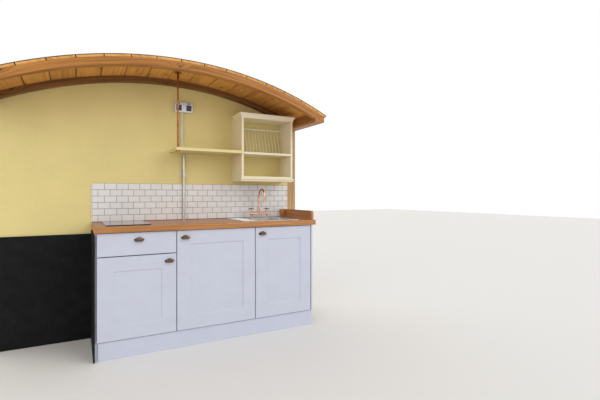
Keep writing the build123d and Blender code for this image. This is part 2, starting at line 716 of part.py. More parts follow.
with BuildPart() as hob_tray:
    tray_x = (HOB_LEFT + HOB_TRAY_INSET, HOB_LEFT + HOB_W - HOB_TRAY_INSET)
    tray_y = (HOB_FRONT_Y + HOB_TRAY_INSET, HOB_FRONT_Y + HOB_D - HOB_TRAY_INSET)
    slab(tray_x, tray_y, (WORKTOP_Z - HOB_TRAY_H, WORKTOP_Z))
    slab(
        (tray_x[0] + HOB_TRAY_WALL, tray_x[1] - HOB_TRAY_WALL),
        (tray_y[0] + HOB_TRAY_WALL, tray_y[1] - HOB_TRAY_WALL),
        (WORKTOP_Z - HOB_TRAY_H + HOB_TRAY_WALL, WORKTOP_Z),
        mode=Mode.SUBTRACT,
    )
hob_tray.part.label = "hob_tray"
export_step(hob_tray.part, "parts/hob_tray.step")

# Inset sink: one pressing with a bowl at the right and a ribbed drainer at the left
BOWL_FLOOR_Z = WORKTOP_Z + SINK_T - BOWL_H
with BuildPart() as sink:
    with BuildSketch(Plane.XY.offset(WORKTOP_Z)):
        with Locations((SINK_LEFT + SINK_W / 2, SINK_FRONT_Y + SINK_D / 2)):
            RectangleRounded(SINK_W, SINK_D, SINK_CORNER_R)
    extrude(amount=SINK_T)
    chamfer(sink.faces().sort_by(Axis.Z)[-1].edges(), SINK_EDGE)
    drainer_x = (SINK_LEFT + DRAINER_MARGIN, BOWL_RIGHT - BOWL_W - DRAINER_MARGIN)
    drainer_y = (SINK_FRONT_Y + DRAINER_MARGIN, SINK_BACK_Y - DRAINER_MARGIN)
    drainer_centre = (sum(drainer_x) / 2, sum(drainer_y) / 2)
    with BuildSketch(Plane.XY.offset(WORKTOP_Z + SINK_T)):
        with Locations(drainer_centre):
            RectangleRounded(
                drainer_x[1] - drainer_x[0], drainer_y[1] - drainer_y[0], DRAINER_CORNER_R
            )
    extrude(amount=-DRAINER_DROP, mode=Mode.SUBTRACT)
    rib_pitch = (drainer_y[1] - drainer_y[0]) / (DRAINER_RIBS + 1)
    with BuildSketch(Plane.XY.offset(WORKTOP_Z + SINK_T - DRAINER_DROP)):
        with Locations(drainer_centre):
            with GridLocations(0, rib_pitch, 1, DRAINER_RIBS):
                SlotOverall(drainer_x[1] - drainer_x[0] - DRAINER_MARGIN, DRAINER_RIB_W)
    extrude(amount=DRAINER_DROP)
    with BuildSketch(Plane.XY.offset(WORKTOP_Z)):
        with Locations((BOWL_X, BOWL_Y)):
            RectangleRounded(BOWL_W, BOWL_FB, BOWL_CORNER_R)
    extrude(amount=SINK_T - BOWL_H)
    fillet(sink.faces().sort_by(Axis.Z)[0].edges(), BOWL_FLOOR_R)
    with BuildPart(mode=Mode.SUBTRACT):
        with BuildSketch(Plane.XY.offset(WORKTOP_Z + SINK_T)):
            with Locations((BOWL_X, BOWL_Y)):
                RectangleRounded(
                    BOWL_W - 2 * BOWL_WALL, BOWL_FB - 2 * BOWL_WALL, BOWL_CORNER_R - BOWL_WALL
                )
        hollow = extrude(amount=BOWL_WALL - BOWL_H)
        fillet(hollow.faces().sort_by(Axis.Z)[0].edges(), BOWL_FLOOR_R - BOWL_WALL)
    with Locations((BOWL_X, BOWL_Y, BOWL_FLOOR_Z)):
        Cylinder(WASTE_R + WASTE_PLAY, 2 * BOWL_WALL, mode=Mode.SUBTRACT)
sink.part.label = "sink"
export_step(sink.part, "parts/sink.step")

with BuildPart() as sink_waste:
    waste_top_z = BOWL_FLOOR_Z + BOWL_WALL
    neck_top_z = waste_top_z - WASTE_H
    trap_top_z = neck_top_z - WASTE_H
    with Locations((BOWL_X, BOWL_Y, waste_top_z)):
        Cylinder(WASTE_FLANGE_R, WASTE_FLANGE_T, align=(Align.CENTER, Align.CENTER, Align.MIN))
        Cylinder(WASTE_R, WASTE_H, align=(Align.CENTER, Align.CENTER, Align.MAX))
    with Locations((BOWL_X, BOWL_Y, neck_top_z)):
        Cylinder(TRAP_PIPE_R, WASTE_H, align=(Align.CENTER, Align.CENTER, Align.MAX))
    with Locations((BOWL_X, BOWL_Y, trap_top_z)):
        Cylinder(TRAP_R, TRAP_H, align=(Align.CENTER, Align.CENTER, Align.MAX))
    with BuildSketch(upright(UNIT_BACK_Y)):
        with Locations((BOWL_X, trap_top_z - TRAP_R)):
            Circle(TRAP_PIPE_R)
    extrude(amount=UNIT_BACK_Y - BOWL_Y)
sink_waste.part.label = "sink_waste"
export_step(sink_waste.part, "parts/sink_waste.step")

# Copper bridge tap: two legs with valves, a bridge between them and a turning swan neck
DECK_Z = WORKTOP_Z + SINK_T
TAP_BRIDGE_Z = WORKTOP_Z + TAP_BRIDGE_RISE
TAP_COLLAR_Z = TAP_BRIDGE_Z + TAP_COLLAR_RISE
TAP_WHEEL_Z = TAP_BRIDGE_Z + TAP_WHEEL_RISE
TAP_SOCKET_Z = TAP_BRIDGE_Z + TAP_SOCKET_RISE
SPOUT_TOP_Z = TAP_BRIDGE_Z + SPOUT_TOP_RISE
SPOUT_END_Z = TAP_BRIDGE_Z + SPOUT_END_RISE
with BuildPart() as tap_bridge:
    for leg_x in (TAP_X - TAP_SPREAD / 2, TAP_X + TAP_SPREAD / 2):
        with Locations((leg_x, TAP_Y, DECK_Z)):
            Cylinder(TAP_ROSE_R, TAP_ROSE_T, align=(Align.CENTER, Align.CENTER, Align.MIN))
            Cylinder(PIPE_R, TAP_BRIDGE_Z - DECK_Z, align=(Align.CENTER, Align.CENTER, Align.MIN))
        with Locations((leg_x, TAP_Y, TAP_BRIDGE_Z)):
            Sphere(TAP_VALVE_R)
            Cylinder(
                TAP_COLLAR_R, TAP_COLLAR_Z - TAP_BRIDGE_Z, align=(Align.CENTER, Align.CENTER, Align.MIN)
            )
            Cylinder(
                TAP_STEM_R, TAP_WHEEL_Z - TAP_BRIDGE_Z, align=(Align.CENTER, Align.CENTER, Align.MIN)
            )
    with BuildSketch(Plane.YZ.offset(TAP_X - TAP_SPREAD / 2)):
        with Locations((TAP_Y, TAP_BRIDGE_Z)):
            Circle(PIPE_R)
    extrude(amount=TAP_SPREAD)
    with Locations((TAP_X, TAP_Y, TAP_BRIDGE_Z)):
        Sphere(TAP_SOCKET_R)
        Cylinder(
            TAP_SOCKET_R, TAP_SOCKET_Z - TAP_BRIDGE_Z, align=(Align.CENTER, Align.CENTER, Align.MIN)
        )
tap_bridge.part.label = "tap_bridge"
export_step(tap_bridge.part, "parts/tap_bridge.step")

with BuildPart() as tap_spout:
    with BuildLine() as neck:
        neck_foot = (TAP_X, TAP_Y, TAP_SOCKET_Z + TAP_PLAY)
        neck_turn = (TAP_X, TAP_Y, SPOUT_TOP_Z)
        neck_crest = (TAP_X, TAP_Y - SPOUT_BEND_R, SPOUT_TOP_Z + SPOUT_BEND_R)
        neck_fall = (TAP_X, TAP_Y - 2 * SPOUT_BEND_R, SPOUT_TOP_Z)
        Line(neck_foot, neck_turn)
        ThreePointArc(neck_turn, neck_crest, neck_fall)
        Line(neck_fall, (TAP_X, TAP_Y - 2 * SPOUT_BEND_R, SPOUT_END_Z))
    with BuildSketch(Plane(origin=neck_foot)):
        Circle(PIPE_R)
    sweep()
    with Locations((TAP_X, TAP_Y - 2 * SPOUT_BEND_R, SPOUT_END_Z)):
        Cylinder(SPOUT_TIP_R, SPOUT_TIP_H, align=(Align.CENTER, Align.CENTER, Align.MIN))
    with Locations(neck_foot):
        Cylinder(TAP_SOCKET_R, SPOUT_TIP_H, align=(Align.CENTER, Align.CENTER, Align.MIN))
tap_spout.part.label = "tap_spout"
export_step(tap_spout.part, "parts/tap_spout.step")

for wheel_name, wheel_side in (("tap_wheel_left", -1), ("tap_wheel_right", 1)):
    with BuildPart() as tap_wheel:
        wheel_place = (TAP_X + wheel_side * TAP_SPREAD / 2, TAP_Y, TAP_WHEEL_Z + TAP_PLAY)
        with Locations(wheel_place):
            Cylinder(TAP_HUB_R, TAP_WHEEL_T, align=(Align.CENTER, Align.CENTER, Align.MIN))
            with PolarLocations(TAP_WHEEL_R / 2, TAP_SPOKES):
                Box(TAP_WHEEL_R, TAP_SPOKE_T, TAP_SPOKE_T, align=(Align.CENTER, Align.CENTER, Align.MIN))
        with Locations((wheel_place[0], TAP_Y, wheel_place[2] + TAP_SPOKE_T / 2)):
            Torus(TAP_WHEEL_R, TAP_RIM_R)
    tap_wheel.part.label = wheel_name
    export_step(tap_wheel.part, "parts/" + wheel_name + ".step")

# Shelf, and the copper rod that hangs its corner from the roof
ROD_X = SHELF_LEFT + ROD_INSET
ROD_Y = LINING_Y - SHELF_D + ROD_INSET
with BuildPart() as shelf:
    slab((SHELF_LEFT, RACK_LEFT), (LINING_Y - SHELF_D, LINING_Y), (SHELF_FOOT_Z, SHELF_Z))
    with Locations((ROD_X, ROD_Y, SHELF_FOOT_Z)):
        Cylinder(ROD_R + ROD_PLAY, 2 * SHELF_T, mode=Mode.SUBTRACT)
shelf.part.label = "shelf"
export_step(shelf.part, "parts/shelf.step")

with BuildPart() as hanger_rod:
    rod_top = min(arc_z(ROD_X - FLANGE_R), arc_z(ROD_X + FLANGE_R))
    rod_foot = SHELF_FOOT_Z - ROD_CAP_T
    with Locations((ROD_X, ROD_Y, rod_foot)):
        Cylinder(ROD_R, rod_top - rod_foot, align=(Align.CENTER, Align.CENTER, Align.MIN))
        Cylinder(ROD_CAP_R, ROD_CAP_T, align=(Align.CENTER, Align.CENTER, Align.MIN))
    with Locations((ROD_X, ROD_Y, rod_top)):
        Cylinder(FLANGE_R, FLANGE_T, align=(Align.CENTER, Align.CENTER, Align.MAX))
hanger_rod.part.label = "hanger_rod"
export_step(hanger_rod.part, "parts/hanger_rod.step")

# Open plate rack on the wall
rack_y = (RACK_FRONT_Y, LINING_Y)
with BuildPart() as rack_sides:
    slab((RACK_LEFT, RACK_LEFT + RACK_BOARD_T), rack_y, (RACK_Z, RACK_TOP_Z))
    slab((RACK_RIGHT - RACK_BOARD_T, RACK_RIGHT), rack_y, (RACK_Z, RACK_TOP_Z))
rack_sides.part.label = "rack_sides"
export_step(rack_sides.part, "parts/rack_sides.step")

rack_inner = (RACK_LEFT + RACK_BOARD_T, RACK_RIGHT - RACK_BOARD_T)
with BuildPart() as rack_shelves:
    for board_top in (RACK_Z + RACK_BOARD_T, RACK_MIDDLE_Z, RACK_TOP_Z):
        slab(rack_inner, rack_y, (board_top - RACK_BOARD_T, board_top))
rack_shelves.part.label = "rack_shelves"
export_step(rack_shelves.part, "parts/rack_shelves.step")


def rack_moulding(back_y, foot, height, reach, profile):
    """Moulding mitred round the rack's left side, front and right side, behind or in front of their faces.

    The profile gives its foot's thickness, its overhang, the depth of its lip and of its hollow,
    and reach is how far it runs in under the rack's boards.
    """
    foot_t, overhang, lip, hollow = profile
    with BuildPart() as body:
        with BuildLine() as path:
            Polyline(
                (RACK_LEFT, back_y, foot),
                (RACK_LEFT, RACK_FRONT_Y, foot),
                (RACK_RIGHT, RACK_FRONT_Y, foot),
                (RACK_RIGHT, back_y, foot),
            )
        with BuildSketch(Plane(origin=(RACK_LEFT, back_y, foot), x_dir=(-1, 0, 0), z_dir=(0, 1, 0))):
            with BuildLine():
                Line((-reach, 0), (foot_t, 0))
                SagittaArc((foot_t, 0), (overhang, height - lip), hollow)
                Polyline((overhang, height - lip), (overhang, height), (-reach, height), (-reach, 0))
            make_face()
        sweep(path=path.line, transition=Transition.RIGHT)
    return body.part


with BuildPart() as rack_cornice:
    cornice_back = LINING_Y - END_HOOP_T - CORNICE_HOOP_GAP
    cornice_foot = RACK_TOP_Z + CORNICE_RISE - CORNICE_H
    cornice_profile = (CORNICE_FOOT_T, CORNICE_OVERHANG, CORNICE_LIP, CORNICE_HOLLOW)
    add(rack_moulding(cornice_back, cornice_foot, CORNICE_H, 0, cornice_profile))
rack_cornice.part.label = "rack_cornice"
export_step(rack_cornice.part, "parts/rack_cornice.step")

with BuildPart() as rack_pelmet:
    pelmet_profile = (CORNICE_FOOT_T, PELMET_OVERHANG, PELMET_LIP, PELMET_HOLLOW)
    add(rack_moulding(LINING_Y, RACK_Z - PELMET_H, PELMET_H, RACK_BOARD_T, pelmet_profile))
rack_pelmet.part.label = "rack_pelmet"
export_step(rack_pelmet.part, "parts/rack_pelmet.step")

with BuildPart() as rack_dowels:
    rail_y = (LINING_Y - RACK_RAIL_D, LINING_Y)
    rail_z = RACK_TOP_Z - RACK_RAIL_DROP
    slab(rack_inner, rail_y, (rail_z, rail_z + RACK_RAIL_H))
    dowel_foot_y = LINING_Y - RACK_RAIL_D / 2 - DOWEL_RUN
    dowel_lean = Vector(0, DOWEL_RUN, rail_z - RACK_MIDDLE_Z)
    dowel_pitch = (rack_inner[1] - rack_inner[0]) / (DOWEL_COUNT + 1)
    with BuildSketch(Plane.XY.offset(RACK_MIDDLE_Z)):
        for dowel in range(DOWEL_COUNT):
            with Locations((rack_inner[0] + dowel_pitch * (dowel + 1), dowel_foot_y)):
                Circle(DOWEL_R)
    extrude(amount=dowel_lean.length + DOWEL_R, dir=dowel_lean.normalized())
rack_dowels.part.label = "rack_dowels"
export_step(rack_dowels.part, "parts/rack_dowels.step")

# Socket, trunking and conduit on the wall
SOCKET_X = SHELF_LEFT + SOCKET_INSET
with BuildPart() as socket_box:
    slab(
        (SOCKET_X - SOCKET_W / 2 + SOCKET_BOX_INSET, SOCKET_X + SOCKET_W / 2 - SOCKET_BOX_INSET),
        (LINING_Y - SOCKET_BOX_D, LINING_Y),
        (SOCKET_Z - SOCKET_H / 2 + SOCKET_BOX_INSET, SOCKET_Z + SOCKET_H / 2 - SOCKET_BOX_INSET),
    )
socket_box.part.label = "socket_box"
export_step(socket_box.part, "parts/socket_box.step")

with BuildPart() as socket_plate:
    with BuildSketch(upright(LINING_Y - SOCKET_BOX_D)):
        with Locations((SOCKET_X, SOCKET_Z)):
            RectangleRounded(SOCKET_W, SOCKET_H, SOCKET_CORNER_R)
    extrude(amount=SOCKET_PLATE_T)
    chamfer(socket_plate.faces().sort_by(Axis.Y)[0].edges(), SOCKET_EDGE)
socket_plate.part.label = "socket_plate"
export_step(socket_plate.part, "parts/socket_plate.step")

TRUNKING_X = SHELF_LEFT + TRUNKING_INSET
with BuildPart() as trunking:
    slab(
        (TRUNKING_X - TRUNKING_W / 2, TRUNKING_X + TRUNKING_W / 2),
        (LINING_Y - TRUNKING_D, LINING_Y),
        (SHELF_Z, SOCKET_Z - SOCKET_H / 2 + SOCKET_BOX_INSET),
    )
trunking.part.label = "trunking"
export_step(trunking.part, "parts/trunking.step")

CONDUIT_X = SHELF_LEFT + CONDUIT_INSET
CONDUIT_Y = TILE_Y - CONDUIT_R - CONDUIT_PLAY
with BuildPart() as conduit:
    with BuildSketch(Plane.XY.offset(WORKTOP_Z)):
        with Locations((CONDUIT_X, CONDUIT_Y)):
            Circle(CONDUIT_R)
            Circle(CONDUIT_R - CONDUIT_WALL, mode=Mode.SUBTRACT)
    extrude(amount=SHELF_FOOT_Z - WORKTOP_Z)
conduit.part.label = "conduit"
export_step(conduit.part, "parts/conduit.step")

with BuildPart() as conduit_clip:
    with BuildSketch(Plane.XY.offset(CLIP_Z - CLIP_H / 2)):
        clip_reach = CONDUIT_R + CONDUIT_PLAY + CLIP_WALL
        with Locations((CONDUIT_X, CONDUIT_Y)):
            Circle(clip_reach)
        with Locations((CONDUIT_X, (CONDUIT_Y + LINING_Y) / 2)):
            Rectangle(2 * clip_reach, LINING_Y - CONDUIT_Y)
        with Locations((CONDUIT_X, LINING_Y - CLIP_WALL / 2)):
            Rectangle(2 * (clip_reach + CLIP_LUG), CLIP_WALL)
        with Locations((CONDUIT_X, CONDUIT_Y)):
            Circle(CONDUIT_R + CONDUIT_PLAY, mode=Mode.SUBTRACT)
    extrude(amount=CLIP_H)
conduit_clip.part.label = "conduit_clip"
export_step(conduit_clip.part, "parts/conduit_clip.step")
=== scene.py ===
from math import asin, atan2, cos, pi, radians, sin, sqrt
from random import Random

import bpy
from mathutils import Matrix, Vector


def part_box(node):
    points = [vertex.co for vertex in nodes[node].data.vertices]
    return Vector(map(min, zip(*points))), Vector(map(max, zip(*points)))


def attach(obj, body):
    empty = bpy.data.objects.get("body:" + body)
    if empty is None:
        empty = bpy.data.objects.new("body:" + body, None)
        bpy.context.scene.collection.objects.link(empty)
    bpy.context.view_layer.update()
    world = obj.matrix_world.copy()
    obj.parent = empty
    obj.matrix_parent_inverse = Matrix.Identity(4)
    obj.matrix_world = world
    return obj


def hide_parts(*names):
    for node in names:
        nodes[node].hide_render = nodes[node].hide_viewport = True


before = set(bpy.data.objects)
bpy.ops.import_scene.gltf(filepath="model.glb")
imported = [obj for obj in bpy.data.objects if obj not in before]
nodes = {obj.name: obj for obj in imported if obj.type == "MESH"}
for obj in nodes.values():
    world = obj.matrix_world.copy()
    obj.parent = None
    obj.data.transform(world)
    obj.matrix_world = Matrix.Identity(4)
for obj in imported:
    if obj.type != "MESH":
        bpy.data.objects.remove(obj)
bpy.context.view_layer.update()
scene = bpy.context.scene
scene.view_settings.view_transform = "Standard"

# The view is from the middle of the cabin at seated eye height, turned a little to the right of the wall.
# The wall stands on a pale studio floor, in soft light, most of it from the open side of the cabin.
camera_data = bpy.data.cameras.new("camera")
camera_data.lens = 24.21
camera_data.sensor_width = 36.0
camera_data.shift_y = -0.009
camera = bpy.data.objects.new("camera", camera_data)
camera.location = (-0.638, -3.516, 1.092)
camera.rotation_euler = (radians(90), 0, radians(-28.83))
scene.collection.objects.link(camera)
scene.camera = camera


def wire(tree, kind, sockets=None, **settings):
    """Adds a shader node; a socket is given a plain value or another node's output."""
    made = tree.nodes.new("ShaderNode" + kind)
    for name, value in settings.items():
        setattr(made, name, value)
    for name, value in (sockets or {}).items():
        if isinstance(value, bpy.types.NodeSocket):
            tree.links.new(value, made.inputs[name])
        else:
            made.inputs[name].default_value = value
    return made


def soft_sun(name, turn, height, strength, spread):
    """Soft even light from a direction: degrees round to the right of the wall's front, and degrees up."""
    lamp = bpy.data.lights.new(name, "SUN")
    lamp.energy = strength
    lamp.angle = radians(spread)
    holder = bpy.data.objects.new(name, lamp)
    holder.rotation_euler = (radians(90 - height), 0, radians(turn))
    scene.collection.objects.link(holder)


soft_sun("window_light", turn=40, height=24, strength=1.05, spread=50)
soft_sun("room_light", turn=-42, height=14, strength=0.7, spread=60)
soft_sun("back_light", turn=200, height=50, strength=0.6, spread=60)

world = bpy.data.worlds.new("studio")
scene.world = world
world.use_nodes = True
sky = world.node_tree
sky.nodes.clear()
rays = wire(sky, "LightPath").outputs
seen = wire(sky, "Math", {0: rays["Is Camera Ray"], 1: rays["Is Glossy Ray"]}, operation="MAXIMUM")
seen = wire(sky, "Math", {0: seen.outputs[0], 1: rays["Is Transmission Ray"]}, operation="MAXIMUM")
lighting = wire(sky, "Background", {"Color": (1.0, 0.985, 0.965, 1), "Strength": 0.60})
backdrop = wire(sky, "Background", {"Color": (1, 1, 1, 1), "Strength": 1.0})
blend = wire(sky, "MixShader", {0: seen.outputs[0], 1: lighting.outputs[0], 2: backdrop.outputs[0]})
wire(sky, "OutputWorld", {"Surface": blend.outputs[0]})


def new_finish(name, plain):
    """Material whose shader has these plain values; returns it with its tree and its shader."""
    made = bpy.data.materials.new(name)
    made.use_nodes = True
    shader = made.node_tree.nodes["Principled BSDF"]
    for socket, value in plain.items():
        shader.inputs[socket].default_value = value
    return made, made.node_tree, shader


bpy.ops.object.select_all(action="DESELECT")
bpy.ops.mesh.primitive_plane_add(size=40, location=(0, 0, -0.0006))
floor = bpy.context.object
floor.name = "studio_floor"
floor_finish = new_finish("studio floor", {"Base Color": (0.86, 0.85, 0.83, 1), "Roughness": 0.8})[0]
floor.data.materials.append(floor_finish)

# The wall's hidden skeleton: sill, corner posts, studs and arched rail of sawn softwood, jointed and nailed.
# Its grain runs along each timber, with growth lines, a few knots and the ridges that the saw leaves.
SAWN_PALE = (0.60, 0.40, 0.20, 1)
SAWN_DARK = (0.36, 0.20, 0.08, 1)
ROOF_RADIUS = 2.743
CROWN_Z = 2.042
ROOF_CENTRE_Z = CROWN_Z - ROOF_RADIUS


def new_group(name, inputs, outputs):
    """Empty node group with named inputs (label, kind, value) and outputs (label, kind)."""
    group = bpy.data.node_groups.new(name, "ShaderNodeTree")
    for label, kind, value in inputs:
        socket = group.interface.new_socket(label, in_out="INPUT", socket_type="NodeSocket" + kind)
        if value is not None:
            socket.default_value = value
    for label, kind in outputs:
        group.interface.new_socket(label, in_out="OUTPUT", socket_type="NodeSocket" + kind)
    return group, group.nodes.new("NodeGroupInput"), group.nodes.new("NodeGroupOutput")


def calc(tree, operation, first, second=0.0, clamp=False):
    """One step of arithmetic in a shader."""
    return wire(tree, "Math", {0: first, 1: second}, operation=operation, use_clamp=clamp).outputs[0]


def plus(tree, base, value, part):
    """A value with a part of another added to it."""
    return calc(tree, "ADD", base, calc(tree, "MULTIPLY", value, part))


def fade(tree, value, low, high, at_low=0.0, at_high=1.0):
    """Smooth change from one value to another as the input goes from low to high."""
    sockets = {"Value": value, "From Min": low, "From Max": high, "To Min": at_low, "To Max": at_high}
    return wire(tree, "MapRange", sockets, interpolation_type="SMOOTHSTEP").outputs[0]


def mix(tree, share, first, second):
    """Mix of two colours."""
    return wire(tree, "Mix", {0: share, 6: first, 7: second}, data_type="RGBA").outputs[2]


def stretch(tree, vector, scale):
    """A vector with each of its axes scaled."""
    return wire(tree, "VectorMath", {0: vector, 1: scale}, operation="MULTIPLY").outputs[0]


def noise(tree, vector, scale, detail, rough=0.5, distortion=0.0):
    """Fractal noise from 0 to 1."""
    sockets = {"Vector": vector, "Scale": scale, "Detail": detail}
    return wire(tree, "TexNoise", {**sockets, "Roughness": rough, "Distortion": distortion}).outputs[0]


figure, put_in, put_out = new_group(
    "wood figure",
    [
        ("Vector", "Vector", None), ("Pale", "Color", (1, 1, 1, 1)), ("Dark", "Color", (0, 0, 0, 1)),
        ("Lines", "Float", 60.0), ("Knots", "Float", 0.3), ("Tone", "Float", 0.5),
    ],
    [("Colour", "Color"), ("Height", "Float")],
)
vector, pale, dark, line_count, knot_share, board_tone = put_in.outputs[:6]
# Knots sit in some cells of a loose pattern, each with a darker halo that pushes the growth lines aside.
spread = stretch(figure, vector, (3.4, 6.4, 0.0))
cells = wire(figure, "TexVoronoi", {"Vector": spread, "Scale": 1.0}, voronoi_dimensions="2D")
lot, size, _ = wire(figure, "SeparateColor", {0: cells.outputs["Color"]}).outputs
chosen = calc(figure, "LESS_THAN", lot, knot_share)
halo = calc(figure, "MULTIPLY", fade(figure, cells.outputs["Distance"], 0.02, 0.34, 1.0, 0.0), chosen)
away = wire(figure, "VectorMath", {0: spread, 1: cells.outputs["Position"]}, operation="SUBTRACT").outputs[0]
away = stretch(figure, away, (0.20, 0.156, 0.0))
away = wire(figure, "VectorMath", {0: away}, operation="LENGTH").outputs["Value"]
away = calc(figure, "DIVIDE", away, calc(figure, "ADD", size, 0.4))
knot = calc(figure, "MULTIPLY", fade(figure, away, 0.007, 0.0125, 1.0, 0.0), chosen)
# Growth lines wander along the grain, and fine pores lie over them.
along, across, depth = wire(figure, "SeparateXYZ", {0: vector}).outputs
drift = noise(figure, stretch(figure, vector, (0.9, 5.0, 5.0)), 1.0, 2.0)
lines = plus(figure, calc(figure, "MULTIPLY", across, line_count), drift, 5.0)
lines = plus(figure, lines, halo, 3.2)
sheet_depth = calc(figure, "MULTIPLY", depth, calc(figure, "MULTIPLY", line_count, 0.6))
grain_place = wire(figure, "CombineXYZ", {0: calc(figure, "MULTIPLY", along, 1.6), 1: lines, 2: sheet_depth})
grain = noise(figure, grain_place.outputs[0], 1.0, 6.0, 0.62, 0.25)
pores = noise(figure, stretch(figure, vector, (26.0, 900.0, 900.0)), 1.0, 2.0)
share = plus(figure, fade(figure, grain, 0.30, 0.70), calc(figure, "SUBTRACT", pores, 0.5), 0.35)
share = calc(figure, "ADD", share, calc(figure, "SUBTRACT", board_tone, 0.5), clamp=True)
wooden = mix(figure, share, pale, dark)
wooden = mix(figure, calc(figure, "MULTIPLY", halo, 0.35), wooden, dark)
wooden = mix(figure, knot, wooden, mix(figure, 0.62, dark, (0.05, 0.02, 0.008, 1)))
relief = plus(figure, calc(figure, "MULTIPLY", grain, 0.7), pores, 0.3)
figure.links.new(wooden, put_out.inputs["Colour"])
figure.links.new(plus(figure, relief, knot, -0.4), put_out.inputs["Height"])


def in_place(tree):
    """Coordinates in metres, in the frame that all pieces share."""
    return wire(tree, "TexCoord").outputs["Object"]


def grain_coordinates(tree, run):
    """Coordinates in metres whose first axis runs with the grain: x, y, z, arc for the roof's arc, or uv."""
    if run == "uv":
        return wire(tree, "TexCoord").outputs["UV"]
    x, y, z = wire(tree, "SeparateXYZ", {0: in_place(tree)}).outputs
    if run == "arc":
        up = calc(tree, "SUBTRACT", z, ROOF_CENTRE_Z)
        turn = calc(tree, "MULTIPLY", calc(tree, "ARCTAN2", x, up), ROOF_RADIUS)
        squares = calc(tree, "ADD", calc(tree, "MULTIPLY", x, x), calc(tree, "MULTIPLY", up, up))
        axes = (turn, calc(tree, "SQRT", squares), y)
    else:
        axes = {"x": (x, z, y), "y": (y, x, z), "z": (z, x, y)}[run]
    return wire(tree, "CombineXYZ", dict(enumerate(axes))).outputs[0]


def bump(tree, shader, height, strength, distance):
    """Surface relief on a shader, from a height that changes over the surface."""
    made = wire(tree, "Bump", {"Height": height, "Strength": strength, "Distance": distance})
    tree.links.new(made.outputs[0], shader.inputs["Normal"])


def timber(name, run, pale, dark, lines, knots, rough, relief, tone=None):
    """Wood finish whose grain runs one way; tone names an attribute that shades board by board."""
    made, tree, shader = new_finish(name, {"Roughness": rough, "Specular IOR Level": 0.35})
    coordinates = grain_coordinates(tree, run)
    sockets = {"Vector": coordinates, "Pale": pale, "Dark": dark, "Lines": lines, "Knots": knots}
    if tone:
        sockets["Tone"] = wire(tree, "Attribute", attribute_name=tone).outputs["Fac"]
    group = wire(tree, "Group", sockets, node_tree=figure)
    tree.links.new(group.outputs["Colour"], shader.inputs["Base Color"])
    bump(tree, shader, group.outputs["Height"], relief, 0.0012)
    return made


def dress(piece, material):
    """Gives a piece or a CAD node its finish."""
    if not piece.material_slots:
        piece.data.materials.append(material)
    for place in piece.material_slots:
        place.material = material


for run, word, names in (
    ("z", "upright", ("corner_posts", "wall_studs")),
    ("x", "level", ("wall_sill",)),
    ("arc", "arch", ("arched_rail",)),
):
    sawn = timber(
        "sawn softwood " + word, run, SAWN_PALE, SAWN_DARK,
        lines=70.0, knots=0.35, rough=0.75, relief=0.35,
    )
    for name in names:
        dress(nodes[name], sawn)

# The inner lining is smooth boarding, brush painted a flat warm yellow in upright strokes.
# The paint is thin and uneven, so its tone drifts a little and the strokes show against the light.
WALL_YELLOW = (0.69, 0.58, 0.245, 1)
brushed, put_in, put_out = new_group(
    "brushed paint",
    [("Vector", "Vector", None), ("Colour", "Color", (1, 1, 1, 1)), ("Uneven", "Float", 0.06)],
    [("Colour", "Color"), ("Height", "Float")],
)
vector, colour, unevenness = put_in.outputs[:3]
patches = noise(brushed, vector, 2.4, 4.0, 0.6)
strokes = noise(brushed, stretch(brushed, vector, (5.0, 240.0, 240.0)), 1.0, 3.0, 0.6)
orange_peel = noise(brushed, vector, 160.0, 2.0)
shift = plus(brushed, calc(brushed, "SUBTRACT", patches, 0.5), strokes, 0.25)
level = plus(brushed, 1.0, shift, unevenness)
lit = wire(brushed, "VectorMath", {0: colour, "Scale": level}, operation="SCALE").outputs[0]
brushed.links.new(lit, put_out.inputs["Colour"])
height = plus(brushed, calc(brushed, "MULTIPLY", strokes, 0.7), orange_peel, 0.3)
brushed.links.new(height, put_out.inputs["Height"])


def paint(name, colour, run, uneven, rough, relief):
    """Paint brushed along x, y or z."""
    made, tree, shader = new_finish(name, {"Roughness": rough, "Specular IOR Level": 0.4})
    sockets = {"Vector": grain_coordinates(tree, run), "Colour": colour, "Uneven": uneven}
    group = wire(tree, "Group", sockets, node_tree=brushed)
    tree.links.new(group.outputs["Colour"], shader.inputs["Base Color"])
    bump(tree, shader, group.outputs["Height"], relief, 0.0006)
    return made


dress(nodes["lining"], paint("yellow wall paint", WALL_YELLOW, "z", uneven=0.26, rough=0.55, relief=0.35))

# The outside is clad with upright tongued and grooved softwood boards, varnished brown and cut to the arch.
# Each board is nailed to the studs, and its softened edges leave a vee at every joint.
BOARD_PITCH = 0.0971
BOARD_GAP = 0.0006
ROOF_CLEARANCE = 0.0005
VARNISH_PALE = (0.33, 0.155, 0.062, 1)
VARNISH_DARK = (0.15, 0.060, 0.022, 1)


def soften(piece, width, segments):
    """Rounds a piece's sharp edges."""
    rounding = piece.modifiers.new("rounding", "BEVEL")
    rounding.width = width
    rounding.segments = segments
    rounding.limit_method = "ANGLE"
    rounding.angle_limit = radians(35)
    bpy.context.view_layer.objects.active = piece
    bpy.ops.object.modifier_apply(modifier=rounding.name)


def block(name, low, high, edge=0.0, segments=2):
    """Board or block between two corners, with softened edges and its object at the origin."""
    low, high = Vector(low), Vector(high)
    bpy.ops.object.select_all(action="DESELECT")
    bpy.ops.mesh.primitive_cube_add(size=1, location=(low + high) / 2, calc_uvs=False)
    piece = bpy.context.object
    piece.name = name
    piece.scale = high - low
    bpy.ops.object.transform_apply(location=True, rotation=True, scale=True)
    if edge:
        soften(piece, edge, segments)
    return piece


def joined(name, pieces):
    """Several pieces made into one."""
    bpy.ops.object.select_all(action="DESELECT")
    for piece in pieces:
        piece.select_set(True)
    bpy.context.view_layer.objects.active = pieces[0]
    bpy.ops.object.join()
    pieces[0].name = name
    return pieces[0]


